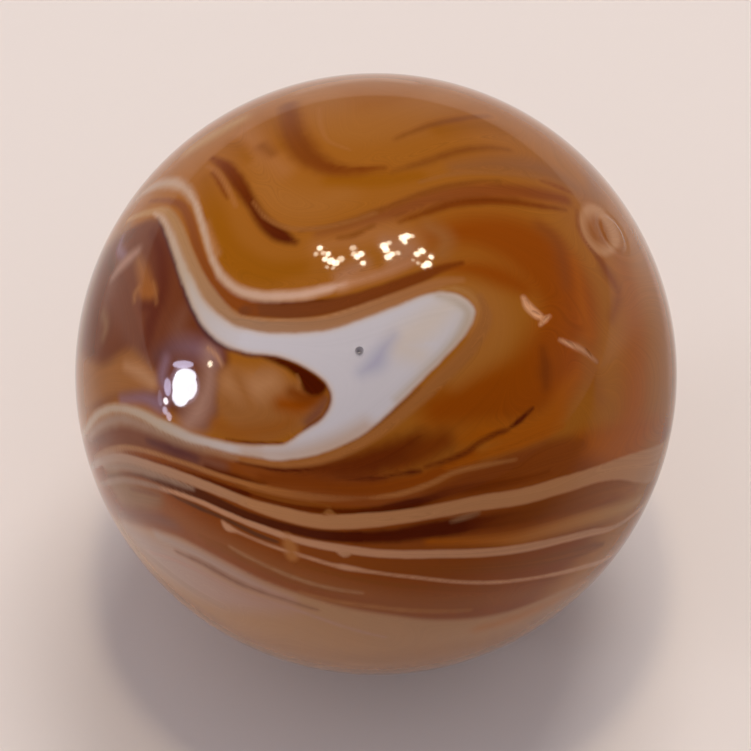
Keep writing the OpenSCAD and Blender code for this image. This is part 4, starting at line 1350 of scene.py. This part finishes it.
@dataclass(frozen=True)
class Bulb:
    """A small round lamp: its highlight's place and radius on the grid, and its share of the radiance."""

    x: float
    y: float
    radius: float
    share: float = 1.0


@dataclass(frozen=True)
class Pane:
    """A flat oval lamp: its highlight's place and half sizes on the grid, and its distance from the skin."""

    name: str
    x: float
    y: float
    half_width: float
    half_height: float
    radiance: float
    colour: Tint = (0.86, 0.9, 1.0)
    away: float = LAMP_DISTANCE


@dataclass(frozen=True)
class Studio:
    """The floor, the lights and the camera.

    The dome is one even light, but mirrored in gloss it goes from the horizon's to the zenith's strength, and
    keeps only a share in front. The bands are the heights and the depths between which that is eased.
    """

    face: FaceView = FaceView()
    floor_side: float = 3.0
    floor_colour: Row = (0.74, 0.65, 0.59, 1)
    dome: float = 0.48
    dome_colour: Row = (0.98, 0.98, 1.1, 1)
    horizon_in_gloss: float = 0.2
    zenith_in_gloss: float = 0.04
    height_band: Pair = (0.0, 0.5)
    front_in_gloss: float = 0.25
    front_band: Pair = (-0.4, 0.0)
    backdrop: float = 0.8
    bulb_radiance: float = 32.0
    bulb_colour: Tint = (1.0, 0.86, 0.64)
    bulb_light_at: Pair = (373.0, 256.0)
    bulb_light_radius: float = 30 * MM
    bulb_light_power: float = 1.77
    soft_light_at: Row = (0.09, 0.26, 0.55)
    soft_light_side: float = 0.3
    soft_light_power: float = 1.9
    bulbs: tuple[Bulb, ...] = (
        Bulb(320, 248, 2.7), Bulb(316, 254, 2.3, 0.4), Bulb(323, 253, 2.3, 0.5), Bulb(328, 254, 2.5),
        Bulb(325, 259, 2.7), Bulb(331, 261, 3.6), Bulb(336, 263, 3.2), Bulb(341, 259, 3.2, 0.5),
        Bulb(327, 267, 1.8, 0.4), Bulb(333, 268, 1.8, 0.4), Bulb(353, 248, 3.1, 0.4),
        Bulb(354, 254, 2.9, 0.5), Bulb(357, 257, 2.7), Bulb(361, 254, 3.1), Bulb(363, 263, 2.5),
        Bulb(384, 246, 3.8), Bulb(386, 250, 3.2), Bulb(389, 243, 2.2, 0.6), Bulb(388, 257, 3.4),
        Bulb(392, 254, 2.7), Bulb(398, 253, 2.3, 0.5), Bulb(403, 238, 3.6), Bulb(407, 236, 3.2),
        Bulb(405, 242, 2.2), Bulb(412, 236, 2.3, 0.5), Bulb(417, 254, 2.9), Bulb(422, 251, 3.2),
        Bulb(431, 257, 2.5), Bulb(428, 264, 3.6), Bulb(424, 266, 2.7), Bulb(418, 263, 1.8, 0.4),
        Bulb(413, 260, 1.6, 0.3), Bulb(210, 364, 2.7, 0.7),
    )
    panes: tuple[Pane, ...] = (
        Pane("window_top", 185.5, 376, 10.5, 7.5, 22.0),
        Pane("window", 184.5, 386, 12.5, 15, 22.0),
        Pane("window_foot", 180, 397, 8, 9.5, 22.0),
        Pane("window_head", 183, 364.5, 10.5, 3.8, 12.0, (0.74, 0.72, 1.0)),
        Pane("window_rim", 184, 385, 15.5, 20, 2.0, (0.7, 0.66, 1.0)),
        Pane("window_side", 167.5, 387, 3.4, 9, 9.0, (0.74, 0.7, 1.0), 30 * MM),
        Pane("window_glint", 165.8, 401, 2.4, 3.4, 22.0, (1.0, 0.95, 1.0), 30 * MM),
        Pane("window_sill", 165, 410.5, 2.4, 4, 8.0, (0.8, 0.76, 1.0), 30 * MM),
        Pane("window_sill_end", 169, 416.5, 2.6, 4.2, 8.0, (0.8, 0.76, 1.0), 30 * MM),
        Pane("window_edge", 160, 398, 2.2, 8, 2.0, (0.74, 0.7, 1.0), 30 * MM),
    )
    sensor: float = 36.0
    camera_reach: Pair = (0.005, 50.0)

    def floor(self) -> None:
        """Lay the plain pale floor under the ball."""
        bpy.ops.object.select_all(action="DESELECT")
        bpy.ops.mesh.primitive_plane_add(size=self.floor_side, location=(0, 0, -self.face.ball_radius))
        floor = active_piece()
        floor.name = "floor"
        floor.data.materials.append(PlainFinish(self.floor_colour).make("pale_floor"))

    def world(self) -> None:
        """Light everything softly from all round. Gloss shows the dome darker upwards and in front."""
        world = bpy.data.worlds.new("soft_dome")
        world.use_nodes = True
        bpy.context.scene.world = world
        nodes = Nodes(world.node_tree)
        seen = nodes.add("ShaderNodeLightPath", output="Is Camera Ray")
        mirrored = nodes.add("ShaderNodeLightPath", output="Is Glossy Ray")
        direction = nodes.add("ShaderNodeTexCoord", output="Generated")
        height = nodes.axis(direction, "Z")
        behind = nodes.axis(direction, "Y")
        glow = (height.smoothstep(*self.height_band, self.horizon_in_gloss, self.zenith_in_gloss)
                * behind.smoothstep(*self.front_band, self.front_in_gloss, 1))
        strength = self.dome + mirrored * (glow - self.dome) + seen * (self.backdrop - self.dome)
        light = nodes.add("ShaderNodeBackground", {}, {"Color": self.dome_colour, "Strength": strength})
        nodes.add("ShaderNodeOutputWorld", {}, {"Surface": light})

    def lamps(self) -> None:
        """Hang the small warm lamps as highlights, and one soft lamp among them that gives their light.

        A ball of radius r that shines all over at one radiance gives out (2 pi r)^2 of it.
        """
        for number, bulb in enumerate(self.bulbs):
            lamp = bpy.data.lights.new(f"bulb_{number}", "POINT")
            lamp.shadow_soft_size = 2 * LAMP_DISTANCE * bulb.radius / self.face.radius
            lamp.energy = self.bulb_radiance * bulb.share * (2 * math.pi * lamp.shadow_soft_size) ** 2
            lamp.color = self.bulb_colour
            place = self.face.mirrored_place(bulb.x, bulb.y, LAMP_DISTANCE)
            stand(lamp, place).visible_diffuse = False
        light = bpy.data.lights.new("bulb_light", "POINT")
        light.shadow_soft_size = self.bulb_light_radius
        light.energy = self.bulb_light_power
        light.color = self.bulb_colour
        place = self.face.mirrored_place(*self.bulb_light_at, LAMP_DISTANCE)
        stand(light, place).visible_glossy = False

    def window(self) -> None:
        """Hang the cool panes, each turned so that its highlight stands upright on the drawing grid.

        A flat lamp gives out pi times its radiance for its area, which is pi / 4 of its box for an ellipse.
        The panes that hang nearer than the other lamps only show as highlights.
        """
        for pane in self.panes:
            place, right, left, top, foot = (
                self.face.mirrored_place(pane.x + across, pane.y + down, pane.away)
                for across, down in ((0, 0), (pane.half_width, 0), (-pane.half_width, 0),
                                     (0, -pane.half_height), (0, pane.half_height)))
            lamp = bpy.data.lights.new(pane.name, "AREA")
            lamp.shape = "ELLIPSE"
            lamp.size, lamp.size_y = (right - left).length, (top - foot).length
            lamp.energy = pane.radiance * lamp.size * lamp.size_y * math.pi ** 2 / 4
            lamp.color = pane.colour
            holder = stand(lamp, place, turned_to(right - left, place.normalized()))
            holder.visible_diffuse = pane.away >= LAMP_DISTANCE

    def soft_light(self) -> None:
        """Hang a broad soft lamp over the right shoulder, too broad to show as a highlight."""
        lamp = bpy.data.lights.new("soft_light", "AREA")
        lamp.size = self.soft_light_side
        lamp.energy = self.soft_light_power
        turn = Vector(self.soft_light_at).to_track_quat("Z", "Y").to_euler()
        stand(lamp, self.soft_light_at, turn).visible_glossy = False

    def camera(self) -> None:
        """Look along the face's axis, framed so that the ball lies on its own place of the drawing grid."""
        camera = bpy.data.cameras.new("camera")
        camera.sensor_width = self.sensor
        sight = math.asin(self.face.ball_radius / self.face.eye_distance)
        camera.lens = self.sensor * self.face.radius / (self.face.grid_side * math.tan(sight))
        middle = self.face.grid_side / 2
        camera.shift_x = (middle - self.face.centre[0]) / self.face.grid_side
        camera.shift_y = (self.face.centre[1] - middle) / self.face.grid_side
        camera.clip_start, camera.clip_end = self.camera_reach
        eye = Vector(self.face.axes()[2]) * self.face.eye_distance
        bpy.context.scene.camera = stand(camera, eye, (math.pi / 2 - self.face.elevation, 0, 0))

    def build(self) -> None:
        """Set up the whole studio."""
        self.floor()
        self.world()
        self.lamps()
        self.window()
        self.soft_light()
        self.camera()
        bpy.context.scene.view_settings.view_transform = "Standard"


def main() -> None:
    """Build the marble and the studio round the frame, and note the sizes."""
    logging.basicConfig(level=logging.INFO, format="%(name)s: %(message)s")
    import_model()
    Studio().build()
    LOG.info("studio is set up")
    marble = Marble().build()
    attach(marble, "root")
    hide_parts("marble")
    LOG.info("%s: %d points, %d faces", marble.name, len(marble.data.vertices), len(marble.data.polygons))


if __name__ == "__main__":
    main()
